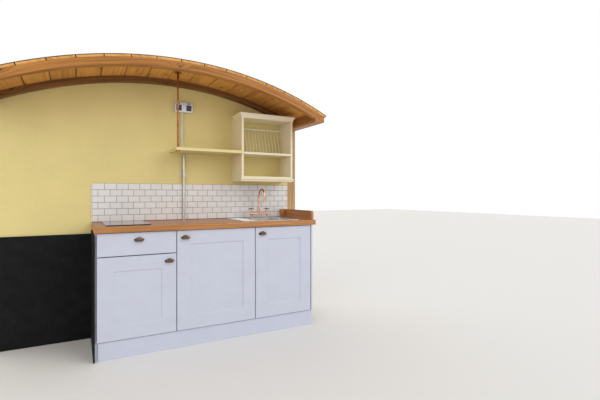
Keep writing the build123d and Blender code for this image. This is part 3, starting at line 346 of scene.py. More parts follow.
def face_tone(piece, value):
    """Stores one tone on all of a piece's faces."""
    layer = piece.data.attributes.new("tone", "FLOAT", "FACE")
    layer.data.foreach_set("value", [value] * len(piece.data.polygons))


def grain_map(piece, run, across, offset):
    """UV map in metres: first along the grain, then across it, moved on so that no two boards are alike."""
    layer = piece.data.uv_layers.new(name="grain")
    for loop in piece.data.loops:
        place = piece.data.vertices[loop.vertex_index].co
        layer.data[loop.index].uv = (run(place) + offset[0], across(place) + offset[1])


def keep(piece, material, body="root"):
    """Dresses a finished piece and lets it ride on its body."""
    dress(piece, material)
    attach(piece, body)
    return piece


low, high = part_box("outer_boarding")
varnish = timber(
    "brown varnished boards", "uv", VARNISH_PALE, VARNISH_DARK,
    lines=75.0, knots=0.3, rough=0.38, relief=0.3, tone="tone",
)
chance = Random(5)
boards = []
count = round((high.x - low.x) / BOARD_PITCH)
pitch = (high.x - low.x) / count
for number in range(count):
    left = low.x + number * pitch
    board = block("board", (left + BOARD_GAP, low.y, 0.0), (left + pitch - BOARD_GAP, high.y, 1.0))
    for vertex in board.data.vertices:
        if vertex.co.z > 0.5:
            vertex.co.z = ROOF_CENTRE_Z + sqrt(ROOF_RADIUS**2 - vertex.co.x**2) - ROOF_CLEARANCE
    soften(board, width=0.0028, segments=1)
    face_tone(board, 0.5 + chance.uniform(-0.16, 0.16))
    grain_map(board, lambda co: co.z, lambda co: co.x + co.y, (chance.uniform(0, 30), chance.uniform(0, 30)))
    boards.append(board)
cladding = keep(joined("outer_boards", boards), varnish)
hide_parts("outer_boarding")

# The roof's last bay: pine boards laid lengthwise and nailed to two bent hoops, with dark open joints,
# knots and a different tone on each board; mineral roofing felt is bonded over them.
ROOF_PITCH = 0.1665
FIRST_JOINT = 0.0115
JOINT_GAP = 0.0055
LEAST_BOARD = 0.012
PINE_T = 0.0175
GLUE_T = 0.0003
FELT_TOP = 0.0215
FELT_STEPS = 24
ROOF_T = 0.022
EAVES_GAP = 0.004
PINE_PALE = (0.77, 0.39, 0.095, 1)
PINE_DARK = (0.49, 0.205, 0.043, 1)
FELT_DARK = (0.075, 0.078, 0.08, 1)
FELT_PALE = (0.13, 0.13, 0.125, 1)
FELT_GRIT = (0.2, 0.2, 0.19, 1)


def wrap_roof(piece):
    """Bends a flat piece to the roof: its x is the distance round the arc, its z the height over the arc."""
    for vertex in piece.data.vertices:
        turn = vertex.co.x / ROOF_RADIUS
        radius = ROOF_RADIUS + vertex.co.z
        vertex.co.x = radius * sin(turn)
        vertex.co.z = ROOF_CENTRE_Z + radius * cos(turn)


low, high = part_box("roof_boards")
half_arc = ROOF_RADIUS * asin((high.x - EAVES_GAP) / (ROOF_RADIUS + ROOF_T))
pine = timber(
    "pine roof boards", "uv", PINE_PALE, PINE_DARK,
    lines=46.0, knots=0.75, rough=0.5, relief=0.3, tone="tone",
)
chance = Random(11)
boards = []
joint = FIRST_JOINT - ROOF_PITCH * int((half_arc + FIRST_JOINT) / ROOF_PITCH + 1)
while joint < half_arc:
    left, right = max(joint, -half_arc), min(joint + ROOF_PITCH, half_arc)
    joint += ROOF_PITCH
    if right - left < LEAST_BOARD:
        continue
    board = block("board", (left + JOINT_GAP / 2, low.y, 0.0), (right - JOINT_GAP / 2, high.y, PINE_T))
    soften(board, width=0.0022, segments=1)
    face_tone(board, 0.45 + chance.uniform(-0.26, 0.26))
    grain_map(board, lambda co: co.y, lambda co: co.x + co.z, (chance.uniform(0, 30), chance.uniform(0, 30)))
    wrap_roof(board)
    boards.append(board)
ceiling = keep(joined("pine_ceiling", boards), pine)
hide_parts("roof_boards")


def tint(tree, value, low, high, first, second):
    """Colour that goes from the first to the second as a value goes from low to high."""
    return mix(tree, fade(tree, value, low, high), first, second)


felt = block("roof_felt", (-half_arc, low.y, PINE_T + GLUE_T), (half_arc, high.y, FELT_TOP))
bpy.ops.object.mode_set(mode="EDIT")
for cut in range(1 - FELT_STEPS, FELT_STEPS):
    bpy.ops.mesh.select_all(action="SELECT")
    bpy.ops.mesh.bisect(plane_co=(half_arc * cut / FELT_STEPS, 0, 0), plane_no=(1, 0, 0))
bpy.ops.object.mode_set(mode="OBJECT")
wrap_roof(felt)
bpy.ops.object.shade_smooth_by_angle(angle=radians(30))
felt_finish, tree, shader = new_finish("grey roofing felt", {"Roughness": 0.92})
place = in_place(tree)
speck = noise(tree, place, 900.0, 2.0)
stain = noise(tree, place, 3.0, 5.0)
tone = tint(tree, stain, 0.3, 0.7, FELT_DARK, FELT_PALE)
tree.links.new(tint(tree, speck, 0.55, 0.7, tone, FELT_GRIT), shader.inputs["Base Color"])
bump(tree, shader, speck, 0.4, 0.0008)
keep(felt, felt_finish)

# The hoops are bent softwood, oiled, with their lower corners taken off; they rest on the cant rails.
# Their grain follows the arc, and the cant rails' grain runs lengthwise. The hoop on the wall is coloured
# darker, as painted shade.
HOOP_PALE = (0.49, 0.205, 0.036, 1)
HOOP_DARK = (0.245, 0.085, 0.014, 1)
# Painted shade: the hoop on the wall takes darker tones than the free hoop.
SHADED_END_HOOP_PALE = (0.265, 0.120, 0.032, 1)
SHADED_END_HOOP_DARK = (0.120, 0.048, 0.012, 1)
oiled = timber("oiled hoop", "arc", HOOP_PALE, HOOP_DARK, lines=75.0, knots=0.45, rough=0.42, relief=0.25)
end_hoop_shade_finish = timber("end hoop painted shade", "arc", SHADED_END_HOOP_PALE, SHADED_END_HOOP_DARK, lines=75.0, knots=0.45, rough=0.5, relief=0.25)
straight = timber(
    "oiled cant rail", "y", HOOP_PALE, HOOP_DARK,
    lines=80.0, knots=0.2, rough=0.45, relief=0.25,
)
dress(nodes["roof_hoop"], oiled)
dress(nodes["end_hoop"], end_hoop_shade_finish)
dress(nodes["cant_rails"], straight)

# Beside the kitchen the wall and the end panel are faced with sheets of matt black fire board, bonded on.
# The board is a little mottled and holds some pale dust. Its black is set deeper than the board's own, as
# painted shade.
FIRE_BLACK_WITH_SHADE = (0.005, 0.005, 0.0055, 1)
FIRE_GREY_WITH_SHADE = (0.013, 0.013, 0.014, 1)
PALE_DUST = (0.024, 0.024, 0.024, 1)
fire_board, tree, shader = new_finish("black fire board", {"Specular IOR Level": 0.12})
place = in_place(tree)
mottle = noise(tree, place, 14.0, 6.0, 0.65)
dust = noise(tree, place, 320.0, 3.0)
tone = tint(tree, mottle, 0.35, 0.75, FIRE_BLACK_WITH_SHADE, FIRE_GREY_WITH_SHADE)
tree.links.new(tint(tree, dust, 0.62, 0.80, tone, PALE_DUST), shader.inputs["Base Color"])
tree.links.new(fade(tree, mottle, 0.3, 0.7, 0.55, 0.75), shader.inputs["Roughness"])
bump(tree, shader, dust, 0.15, 0.0004)
dress(nodes["heat_boards"], fire_board)

# The units are boxes of white faced chipboard, dowelled and glued; the drawer box is of the same board.
# Each door and the drawer front is one board with a sunk panel. They and the plinth, filler and end panel are
# sprayed with white satin paint that shows faint marks from handling; its colour is set darker and bluish, as
# painted shade.
BOARD_WHITE = (0.80, 0.80, 0.785, 1)
BOARD_SHADE = (0.765, 0.765, 0.75, 1)
# Painted shade: the satin white is set darker and bluish than white paint.
SATIN_WHITE_BLUE_SHADE = (0.555, 0.58, 0.685, 1)
SATIN_HANDLED_BLUE_SHADE = tuple(0.965 * part for part in SATIN_WHITE_BLUE_SHADE[:3]) + (1,)
melamine, tree, shader = new_finish("white faced board", {"Roughness": 0.42, "Specular IOR Level": 0.4})
place = in_place(tree)
cloud = noise(tree, place, 5.0, 3.0)
tree.links.new(tint(tree, cloud, 0.3, 0.7, BOARD_WHITE, BOARD_SHADE), shader.inputs["Base Color"])
bump(tree, shader, noise(tree, place, 1400.0, 2.0), 0.12, 0.0003)
for name in ("unit_sides", "unit_bottoms", "unit_backs", "unit_rails", "unit_shelves", "drawer_box"):
    dress(nodes[name], melamine)

satin_blue_shade_finish, tree, shader = new_finish("satin paint with painted blue shade", {"Specular IOR Level": 0.45})
place = in_place(tree)
smears = noise(tree, stretch(tree, place, (5.0, 5.0, 9.0)), 1.0, 5.0, 0.6)
tree.links.new(tint(tree, smears, 0.35, 0.7, SATIN_WHITE_BLUE_SHADE, SATIN_HANDLED_BLUE_SHADE), shader.inputs["Base Color"])
tree.links.new(fade(tree, smears, 0.3, 0.7, 0.31, 0.44), shader.inputs["Roughness"])
bump(tree, shader, noise(tree, place, 420.0, 2.0), 0.06, 0.0003)
for name in ("end_panel", "plinth", "filler", "left_door", "middle_door", "right_door", "drawer_front"):
    dress(nodes[name], satin_blue_shade_finish)

# Each unit stands on four feet of moulded black plastic. A foot has a broad pad on the floor, a stem that
# screws up and down in a sleeve, and a plate under the unit's bottom board.
PLASTIC_BLACK = (0.032, 0.032, 0.034, 1)
PLASTIC_GREY = (0.052, 0.052, 0.054, 1)
FOOT_R = 0.026
FOOT_INSET = 0.05
UNIT_WIDTHS = (0.5, 0.6, 0.5)
UNIT_PLAY = 0.0005
black_plastic, tree, shader = new_finish("black moulded plastic", {"Roughness": 0.36})
place = in_place(tree)
cloud = noise(tree, place, 60.0, 3.0)
tree.links.new(mix(tree, cloud, PLASTIC_BLACK, PLASTIC_GREY), shader.inputs["Base Color"])
bump(tree, shader, noise(tree, place, 800.0, 2.0), 0.1, 0.0002)


def turned(name, outline, steps=32):
    """Turned piece about its own upright axis from an outline of (radius, height) points, bottom to top."""
    bpy.ops.object.select_all(action="DESELECT")
    mesh = bpy.data.meshes.new(name)
    edges = [(point, point + 1) for point in range(len(outline) - 1)]
    mesh.from_pydata([(radius, 0, level) for radius, level in outline], edges, [])
    piece = bpy.data.objects.new(name, mesh)
    scene.collection.objects.link(piece)
    piece.select_set(True)
    bpy.context.view_layer.objects.active = piece
    bpy.ops.object.mode_set(mode="EDIT")
    bpy.ops.mesh.select_all(action="SELECT")
    bpy.ops.mesh.spin(steps=steps, angle=2 * pi, center=(0, 0, 0), axis=(0, 0, 1))
    bpy.ops.mesh.select_all(action="SELECT")
    bpy.ops.mesh.remove_doubles(threshold=0.00001)
    bpy.ops.mesh.normals_make_consistent(inside=False)
    bpy.ops.object.mode_set(mode="OBJECT")
    bpy.ops.object.shade_smooth_by_angle(angle=radians(32))
    return piece


def copy_of(piece, name, matrix=None):
    """Copy of a piece with its own mesh, moved by a matrix where one is given."""
    made = piece.copy()
    made.data = piece.data.copy()
    made.name = name
    if matrix:
        made.data.transform(matrix)
    scene.collection.objects.link(made)
    return made


foot = turned("foot", [
    (0.0, 0.0), (0.024, 0.0), (FOOT_R, 0.002), (FOOT_R, 0.007), (0.024, 0.009), (0.013, 0.011),
    (0.012, 0.020), (0.012, 0.034), (0.0148, 0.036), (0.015, 0.040), (0.015, 0.112), (0.022, 0.114),
    (0.022, 0.120), (0.0, 0.120),
])
unit_edges = [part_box("unit_sides")[0].x - UNIT_PLAY]
for width in UNIT_WIDTHS:
    unit_edges.append(unit_edges[-1] + width)
low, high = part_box("unit_feet")
feet = []
for left, right in zip(unit_edges, unit_edges[1:]):
    for foot_x in (left + FOOT_INSET, right - FOOT_INSET):
        for foot_y in (low.y + FOOT_R, high.y - FOOT_R):
            feet.append(copy_of(foot, "foot", Matrix.Translation((foot_x, foot_y, 0))))
bpy.data.objects.remove(foot)
feet = keep(joined("adjustable_feet", feet), black_plastic)
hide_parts("unit_feet")

# The worktop and its upstand are glued up from oak staves about 40 mm wide, oiled, each with its own tone.
# Staves end at butt joints, and the glue shows as thin dark lines between them.
OAK_PALE = (0.54, 0.245, 0.075, 1)
OAK_DARK = (0.32, 0.125, 0.034, 1)
GLUE_LINE = (0.16, 0.06, 0.02, 1)


def staves(name, run):
    """Oiled oak staves that run along x or y."""
    made, tree, shader = new_finish(name, {"Roughness": 0.38, "Specular IOR Level": 0.45})
    along = grain_coordinates(tree, run)
    run_axis, width_axis, depth_axis = wire(tree, "SeparateXYZ", {0: along}).outputs
    laid = wire(tree, "CombineXYZ", {0: run_axis, 1: calc(tree, "ADD", width_axis, depth_axis)}).outputs[0]
    tones = {"Color1": (0.30, 0.30, 0.30, 1), "Color2": (0.72, 0.72, 0.72, 1), "Mortar": (0.5, 0.5, 0.5, 1)}
    sizes = {"Scale": 1.0, "Brick Width": 0.43, "Row Height": 0.0405}
    glue = {"Mortar Size": 0.0005, "Mortar Smooth": 0.1}
    rows = wire(
        tree, "TexBrick", {"Vector": laid, **tones, **sizes, **glue},
        offset=0.37, squash=1.25, squash_frequency=3,
    )
    step = wire(tree, "VectorMath", {0: rows.outputs["Color"], "Scale": 23.0}, operation="SCALE").outputs[0]
    group = wire(tree, "Group", {
        "Vector": wire(tree, "VectorMath", {0: along, 1: step}).outputs[0],
        "Tone": wire(tree, "SeparateColor", {0: rows.outputs["Color"]}).outputs[0],
        "Pale": OAK_PALE, "Dark": OAK_DARK, "Lines": 150.0, "Knots": 0.03,
    }, node_tree=figure)
    joints = calc(tree, "MULTIPLY", rows.outputs["Fac"], 0.55)
    tree.links.new(mix(tree, joints, group.outputs["Colour"], GLUE_LINE), shader.inputs["Base Color"])
    bump(tree, shader, group.outputs["Height"], 0.2, 0.0008)
    return made


dress(nodes["worktop"], staves("oak worktop", "x"))
dress(nodes["upstand"], staves("oak upstand", "y"))

# The splashback is laid in small flat glazed white tiles, a little uneven in tone and in how true they sit.
# They lie in half bond on a bed of dark grey grout just under their faces. A white plastic trim closes the
# open end.
TILE_PITCH_X, TILE_PITCH_Z = 0.08505, 0.0494
TILE_SHIFT = 0.0455
TILE_JOINT = 0.0026
TILE_T = 0.0066
LEAST_TILE = 0.006
TILE_UNEVEN = 0.0003
LEAN_DEGREES, TWIST_DEGREES = 0.28, 0.2
TRIM_W = 0.0047
HAIRLINE = 0.0002
GROUT_SINK = 0.0012
TILE_PALE = (0.75, 0.73, 0.72, 1)
TILE_DEEP = (0.71, 0.69, 0.68, 1)
GROUT_DARK = (0.085, 0.083, 0.08, 1)
GROUT_PALE = (0.15, 0.146, 0.14, 1)
GROUT_SAND = (0.20, 0.195, 0.19, 1)
MOULDED_WHITE = (0.80, 0.795, 0.77, 1)
MOULDED_SHADE = (0.75, 0.745, 0.715, 1)
low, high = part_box("splashback")
first = low.x + TRIM_W
whole_w = TILE_PITCH_X - TILE_JOINT
tile = block("tile", (0, 0, 0), (whole_w, TILE_T, TILE_PITCH_Z - TILE_JOINT), edge=0.0006)
chance = Random(23)
tiles = []
row_count = round((high.z - low.z) / TILE_PITCH_Z)
for row in range(row_count):
    foot_z = high.z - (row + 1) * TILE_PITCH_Z + TILE_JOINT / 2
    start = first - (row % 2) * TILE_SHIFT
    while start < high.x:
        left = max(start, first) + TILE_JOINT / 2
        right = min(start + TILE_PITCH_X, high.x) - TILE_JOINT / 2
        start += TILE_PITCH_X
        if right - left < LEAST_TILE:
            continue
        one = copy_of(tile, "tile")
        for vertex in one.data.vertices:
            if vertex.co.x > LEAST_TILE / 2:
                vertex.co.x -= whole_w - (right - left)
        lean = Matrix.Rotation(radians(chance.uniform(-LEAN_DEGREES, LEAN_DEGREES)), 4, "X")
        twist = Matrix.Rotation(radians(chance.uniform(-TWIST_DEGREES, TWIST_DEGREES)), 4, "Z")
        middle = Vector(((right - left) / 2, TILE_T / 2, TILE_PITCH_Z / 2))
        place = Vector((left, low.y + TILE_UNEVEN + chance.uniform(0, TILE_UNEVEN), foot_z))
        one.data.transform(Matrix.Translation(place + middle) @ lean @ twist @ Matrix.Translation(-middle))
        face_tone(one, chance.uniform(0, 1))
        tiles.append(one)
bpy.data.objects.remove(tile)
gloss = {"Coat Weight": 0.6, "Coat Roughness": 0.05, "IOR": 1.52}
glaze, tree, shader = new_finish("white tile glaze", gloss)
place = in_place(tree)
shade = wire(tree, "Attribute", attribute_name="tone").outputs["Fac"]
ripple = noise(tree, place, 55.0, 3.0)
tree.links.new(mix(tree, shade, TILE_PALE, TILE_DEEP), shader.inputs["Base Color"])
tree.links.new(fade(tree, ripple, 0.3, 0.7, 0.10, 0.20), shader.inputs["Roughness"])
bump(tree, shader, ripple, 0.12, 0.0008)
tiling = keep(joined("white_tiles", tiles), glaze)
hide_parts("splashback")

grout_foot = (first, low.y + GROUT_SINK, low.z)
grout = block("tile_grout", grout_foot, (high.x, high.y, high.z - HAIRLINE), edge=0.0006, segments=1)
grout_finish, tree, shader = new_finish("grey grout", {"Roughness": 0.95})
place = in_place(tree)
sand = noise(tree, place, 1500.0, 3.0)
tone = tint(tree, noise(tree, place, 9.0, 4.0), 0.3, 0.7, GROUT_DARK, GROUT_PALE)
tree.links.new(tint(tree, sand, 0.5, 0.8, tone, GROUT_SAND), shader.inputs["Base Color"])
bump(tree, shader, sand, 0.5, 0.0004)
keep(grout, grout_finish)


def moulded_plastic(name, light, deep):
    """Moulded plastic, half matt, a little cloudy between two close tones."""
    made, tree, shader = new_finish(name, {"Roughness": 0.38, "Subsurface Weight": 0.04})
    place = in_place(tree)
    cloud = noise(tree, place, 12.0, 3.0)
    tree.links.new(tint(tree, cloud, 0.3, 0.7, light, deep), shader.inputs["Base Color"])
    bump(tree, shader, noise(tree, place, 700.0, 2.0), 0.08, 0.0002)
    return made


white_plastic = moulded_plastic("white moulded plastic", MOULDED_WHITE, MOULDED_SHADE)
trim = block("tile_trim", low, (low.x + TRIM_W - HAIRLINE, high.y, high.z), edge=0.0014)
keep(trim, white_plastic)

# The cup pulls are cast brass, each a half-round cup with a lug at either end.
# Their dark brown patina has rubbed off in places.
PATINA = (0.115, 0.080, 0.046, 1)
RUBBED_BRASS = (0.39, 0.275, 0.14, 1)
bronze, tree, shader = new_finish("antique bronze", {"Metallic": 1.0})
place = in_place(tree)
rub = noise(tree, place, 70.0, 5.0, 0.65)
tree.links.new(tint(tree, rub, 0.52, 0.72, PATINA, RUBBED_BRASS), shader.inputs["Base Color"])
tree.links.new(fade(tree, rub, 0.4, 0.7, 0.48, 0.30), shader.inputs["Roughness"])
bump(tree, shader, noise(tree, place, 500.0, 3.0), 0.2, 0.0003)
for name in ("drawer_pull", "left_door_pull", "middle_door_pull", "right_door_pull"):
    dress(nodes[name], bronze)

# A concealed hinge is a steel arm on a plate that two screws hold to the unit's side, with a round cup let
# into the door. The drawer runs on two pressed steel runners.
ZINC = (0.58, 0.58, 0.57, 1)
PRESSED_STEEL = (0.55, 0.55, 0.54, 1)
SIDE_BOARD_T = 0.0185
HINGE_INSET = 0.100
HINGE_CUP_R = 0.0175
HINGE_CUP_X = 0.0065
HINGE_PLATE_T = 0.003
HINGE_SCREW_Y = 0.036
HINGE_SCREW_RISE = 0.019
HINGE_SCREW_R = 0.0042
brushing, put_in, put_out = new_group(
    "metal brushing",
    [("Vector", "Vector", None), ("Rough", "Float", 0.3), ("Spread", "Float", 0.15)],
    [("Roughness", "Float"), ("Height", "Float")],
)
vector, base_rough, rough_spread = put_in.outputs[:3]
lines = noise(brushing, stretch(brushing, vector, (7.0, 900.0, 900.0)), 1.0, 3.0, 0.6)
uneven = plus(brushing, calc(brushing, "MULTIPLY", lines, 0.7), noise(brushing, vector, 18.0, 3.0), 0.3)
uneven = plus(brushing, base_rough, calc(brushing, "SUBTRACT", uneven, 0.5), rough_spread)
brushing.links.new(uneven, put_out.inputs["Roughness"])
brushing.links.new(lines, put_out.inputs["Height"])


def metal(name, colour, run, rough, spread=0.3, relief=0.1, tarnish=None):
    """Metal brushed or drawn along x, y or z, with tarnish of another colour where that is given."""
    made, tree, shader = new_finish(name, {"Metallic": 1.0, "Base Color": colour})
    coordinates = grain_coordinates(tree, run)
    group = wire(tree, "Group", {"Vector": coordinates, "Rough": rough, "Spread": spread}, node_tree=brushing)
    tree.links.new(group.outputs["Roughness"], shader.inputs["Roughness"])
    bump(tree, shader, group.outputs["Height"], relief, 0.0003)
    if tarnish:
        stains = noise(tree, coordinates, 28.0, 5.0, 0.6)
        tree.links.new(tint(tree, stains, 0.38, 0.72, colour, tarnish), shader.inputs["Base Color"])
    return made


zinc = metal("zinc plated steel", ZINC, "z", rough=0.34)
dress(nodes["hinge_arms"], zinc)
dress(nodes["drawer_runners"], metal("pressed steel", PRESSED_STEEL, "y", rough=0.38))


def cut_out(piece, low, high):
    """Cuts a square-edged slot or pocket in a piece."""
    tool = block("tool", low, high)
    cut = piece.modifiers.new("cut", "BOOLEAN")
    cut.operation = "DIFFERENCE"
    cut.object = tool
    bpy.context.view_layer.objects.active = piece
    bpy.ops.object.modifier_apply(modifier=cut.name)
    bpy.data.objects.remove(tool)


def screw_head(radius):
    """Cross-slotted screw head about the origin that faces up."""
    outline = [(0.0, -0.0002), (radius, -0.0002), (radius, 0.0003), (radius * 0.8, 0.0009), (0.0, 0.0012)]
    head = turned("screw", outline, steps=16)
    for half_x, half_y in ((radius * 0.55, radius * 0.12), (radius * 0.12, radius * 0.55)):
        cut_out(head, (-half_x, -half_y, 0.0005), (half_x, half_y, 0.002))
    return head


FACING = {
    "-y": Matrix.Rotation(radians(90), 4, "X"),
    "+y": Matrix.Rotation(radians(-90), 4, "X"),
    "+x": Matrix.Rotation(radians(90), 4, "Y"),
    "-x": Matrix.Rotation(radians(-90), 4, "Y"),
}


def set_out(name, pattern, places):
    """Copies of a pattern piece at (place, facing), joined into one."""
    return joined(name, [
        copy_of(pattern, name, Matrix.Translation(Vector(place)) @ FACING[facing]) for place, facing in places
    ])


cup = turned("cup", [
    (0.0, -0.0105), (0.0145, -0.0105), (0.016, -0.009), (0.016, 0.0), (HINGE_CUP_R, 0.0),
    (HINGE_CUP_R, 0.0002), (0.0, 0.0002),
])
# Each door hangs on one edge of its unit; the number says which way the unit's inside lies from there.
hinge_sides = {
    "left_door": (unit_edges[0], 1),
    "middle_door": (unit_edges[2], -1),
    "right_door": (unit_edges[3], -1),
}
plate_places = []
for door, (unit_edge, inward) in hinge_sides.items():
    low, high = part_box(door)
    side_face = unit_edge + inward * SIDE_BOARD_T
    cup_places = []
    for hinge_z in (low.z + HINGE_INSET, high.z - HINGE_INSET):
        cup_places.append(((side_face + inward * HINGE_CUP_X, high.y, hinge_z), "+y"))
        for rise in (-HINGE_SCREW_RISE, HINGE_SCREW_RISE):
            place = (side_face + inward * HINGE_PLATE_T, high.y + HINGE_SCREW_Y, hinge_z + rise)
            plate_places.append((place, "+x" if inward > 0 else "-x"))
    keep(set_out(door + "_hinge_cups", cup, cup_places), zinc, door)
bpy.data.objects.remove(cup)
plate_screw = screw_head(HINGE_SCREW_R)
keep(set_out("hinge_screws", plate_screw, plate_places), zinc)
bpy.data.objects.remove(plate_screw)

# Each pull is held to its front by two small cross-slotted brass screws, driven through the lugs.
# They are as dark as the pull.
LUG_SCREW_X = 0.0293
LUG_RISE = 0.012
LUG_T = 0.0025
LUG_SCREW_R = 0.0026
pull_bodies = {
    "drawer_pull": "drawer", "left_door_pull": "left_door",
    "middle_door_pull": "middle_door", "right_door_pull": "right_door",
}
lug_screw = screw_head(LUG_SCREW_R)
for pull, body in pull_bodies.items():
    low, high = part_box(pull)
    middle = (low.x + high.x) / 2
    places = [((middle + side * LUG_SCREW_X, high.y - LUG_T, low.z + LUG_RISE), "-y") for side in (-1, 1)]
    keep(set_out(pull + "_screws", lug_screw, places), bronze, body)
bpy.data.objects.remove(lug_screw)

# The hob is a sheet of black ceramic glass with a ground edge, over a steel tray in the worktop.
# Two heating zones and a row of touch marks are printed on it in thin grey lines.
GLASS_BLACK = (0.006, 0.006, 0.007, 1)
PRINT_GREY = (0.28, 0.28, 0.29, 1)
TRAY_STEEL = (0.50, 0.50, 0.50, 1)
BACK_ZONE_IN, BACK_ZONE_R = 0.115, 0.0725
FRONT_ZONE_IN, FRONT_ZONE_R = 0.155, 0.090
ZONE_RIM = 0.005
TOUCH_MARK_IN, TOUCH_MARK_R = 0.030, 0.0055
THICK_LINE, THIN_LINE = 0.0009, 0.0005
MARK_OFFSETS = (-0.075, -0.025, 0.025, 0.075)
low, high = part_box("hob_glass")
hob_x = (low.x + high.x) / 2
zones = (((hob_x, high.y - BACK_ZONE_IN), BACK_ZONE_R), ((hob_x, low.y + FRONT_ZONE_IN), FRONT_ZONE_R))
rings = [(centre, radius, THICK_LINE) for centre, radius in zones]
rings += [(centre, radius - ZONE_RIM, THIN_LINE) for centre, radius in zones]
for offset in MARK_OFFSETS:
    rings.append(((hob_x + offset, low.y + TOUCH_MARK_IN), TOUCH_MARK_R, THIN_LINE))
polish = {"IOR": 1.46, "Coat Weight": 0.15, "Coat Roughness": 0.02}
black_glass, tree, shader = new_finish("black ceramic glass", polish)
place = in_place(tree)
flat = stretch(tree, place, (1.0, 1.0, 0.0))
printed = 0.0
for (x, y), radius, line in rings:
    away = wire(tree, "VectorMath", {0: flat, 1: (x, y, 0.0)}, operation="DISTANCE").outputs["Value"]
    off = calc(tree, "ABSOLUTE", calc(tree, "SUBTRACT", away, radius))
    printed = calc(tree, "MAXIMUM", printed, fade(tree, off, line * 0.8, line * 1.2, 1.0, 0.0))
smudge = noise(tree, place, 26.0, 4.0, 0.6)
tree.links.new(mix(tree, printed, GLASS_BLACK, PRINT_GREY), shader.inputs["Base Color"])
tree.links.new(fade(tree, smudge, 0.35, 0.75, 0.035, 0.10), shader.inputs["Roughness"])
dress(nodes["hob_glass"], black_glass)
dress(nodes["hob_tray"], metal("hob tray steel", TRAY_STEEL, "x", rough=0.4))

# The sink is pressed and brushed stainless steel, with a slotted strainer in the waste and a slotted
# overflow plate on the bowl's back; the waste and trap are white plastic.
STAINLESS = (0.66, 0.66, 0.655, 1)
POLISHED_STEEL = (0.68, 0.68, 0.67, 1)
BOWL_FROM_RIGHT, BOWL_FROM_FRONT = 0.192, 0.177
STRAINER_LIFT = 0.0003
OVERFLOW_FROM_BACK, OVERFLOW_DROP = 0.0998, 0.045
dress(nodes["sink"], metal("brushed stainless steel", STAINLESS, "x", rough=0.27, spread=0.35, relief=0.12))
dress(nodes["sink_waste"], white_plastic)


def slotted_plate(name, outline, steps, slots, thickness):
    """Thin turned plate with every other pair of its faces cut out between two radii, as slots."""
    plate = turned(name, outline, steps)
    bpy.ops.object.mode_set(mode="EDIT")
    bpy.ops.mesh.select_mode(type="FACE")
    bpy.ops.mesh.select_all(action="DESELECT")
    bpy.ops.object.mode_set(mode="OBJECT")
    for face in plate.data.polygons:
        ring = sqrt(face.center.x**2 + face.center.y**2)
        step = int((atan2(face.center.y, face.center.x) + pi) / (2 * pi) * steps)
        face.select = slots[0] < ring < slots[1] and step % 4 < 2
    bpy.ops.object.mode_set(mode="EDIT")
    bpy.ops.mesh.delete(type="FACE")
    bpy.ops.mesh.select_mode(type="VERT")
    bpy.ops.object.mode_set(mode="OBJECT")
    thick = plate.modifiers.new("thickness", "SOLIDIFY")
    thick.thickness = thickness
    bpy.ops.object.modifier_apply(modifier=thick.name)
    return plate


low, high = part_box("sink")
bowl_x, bowl_y = high.x - BOWL_FROM_RIGHT, low.y + BOWL_FROM_FRONT
strainer_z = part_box("sink_waste")[1].z + STRAINER_LIFT
strainer = slotted_plate("sink_strainer", [
    (0.0, 0.0075), (0.005, 0.0075), (0.006, 0.0040), (0.012, 0.0016), (0.021, 0.0012), (0.028, 0.0016),
    (0.036, 0.0026), (0.0425, 0.0022), (0.043, 0.0012),
], steps=48, slots=(0.012, 0.0275), thickness=0.0008)
strainer.data.transform(Matrix.Translation((bowl_x, bowl_y, strainer_z)))
polished = metal("polished steel", POLISHED_STEEL, "x", rough=0.16, spread=0.15, relief=0.04)
keep(strainer, polished)

overflow = slotted_plate("sink_overflow", [
    (0.0, 0.0022), (0.004, 0.0022), (0.0055, 0.0014), (0.013, 0.0012), (0.018, 0.0016),
    (0.0205, 0.0006), (0.0205, 0.0),
], steps=32, slots=(0.0055, 0.0125), thickness=0.0006)
place = Matrix.Translation((bowl_x, high.y - OVERFLOW_FROM_BACK, high.z - OVERFLOW_DROP))
overflow.data.transform(place @ FACING["-y"])
keep(overflow, polished)

# The tap is soldered up from copper tube and fittings, with a turning swan neck and two dark red wheels.
# A more tarnished length of the same tube hangs the shelf's corner from the roof.
COPPER = (0.70, 0.41, 0.30, 1)
COPPER_STAIN = (0.50, 0.24, 0.15, 1)
ROD_COPPER = (0.37, 0.16, 0.055, 1)
ROD_STAIN = (0.15, 0.06, 0.022, 1)
ENAMEL_RED = (0.085, 0.014, 0.014, 1)
ENAMEL_CHIP = (0.055, 0.032, 0.026, 1)
copper = metal("copper tube", COPPER, "z", rough=0.22, spread=0.2, relief=0.05, tarnish=COPPER_STAIN)
dress(nodes["tap_bridge"], copper)
dress(nodes["tap_spout"], copper)
red_enamel, tree, shader = new_finish("dark red enamel", {"Coat Weight": 0.25, "Coat Roughness": 0.15})
place = in_place(tree)
chips = noise(tree, place, 240.0, 4.0)
tree.links.new(tint(tree, chips, 0.66, 0.72, ENAMEL_RED, ENAMEL_CHIP), shader.inputs["Base Color"])
tree.links.new(fade(tree, chips, 0.5, 0.75, 0.28, 0.5), shader.inputs["Roughness"])
for name in ("tap_wheel_left", "tap_wheel_right"):
    dress(nodes[name], red_enamel)
dull_copper = metal(
    "tarnished copper tube", ROD_COPPER, "z",
    rough=0.36, spread=0.2, relief=0.05, tarnish=ROD_STAIN,
)
dress(nodes["hanger_rod"], dull_copper)

# The shelf and the open plate rack are softwood, brush painted cream. The rack has a mitred cornice at its
# head, a smaller moulding at its foot and a rail of slanting dowels that keeps plates apart.
SHELF_CREAM = (0.71, 0.61, 0.29, 1)
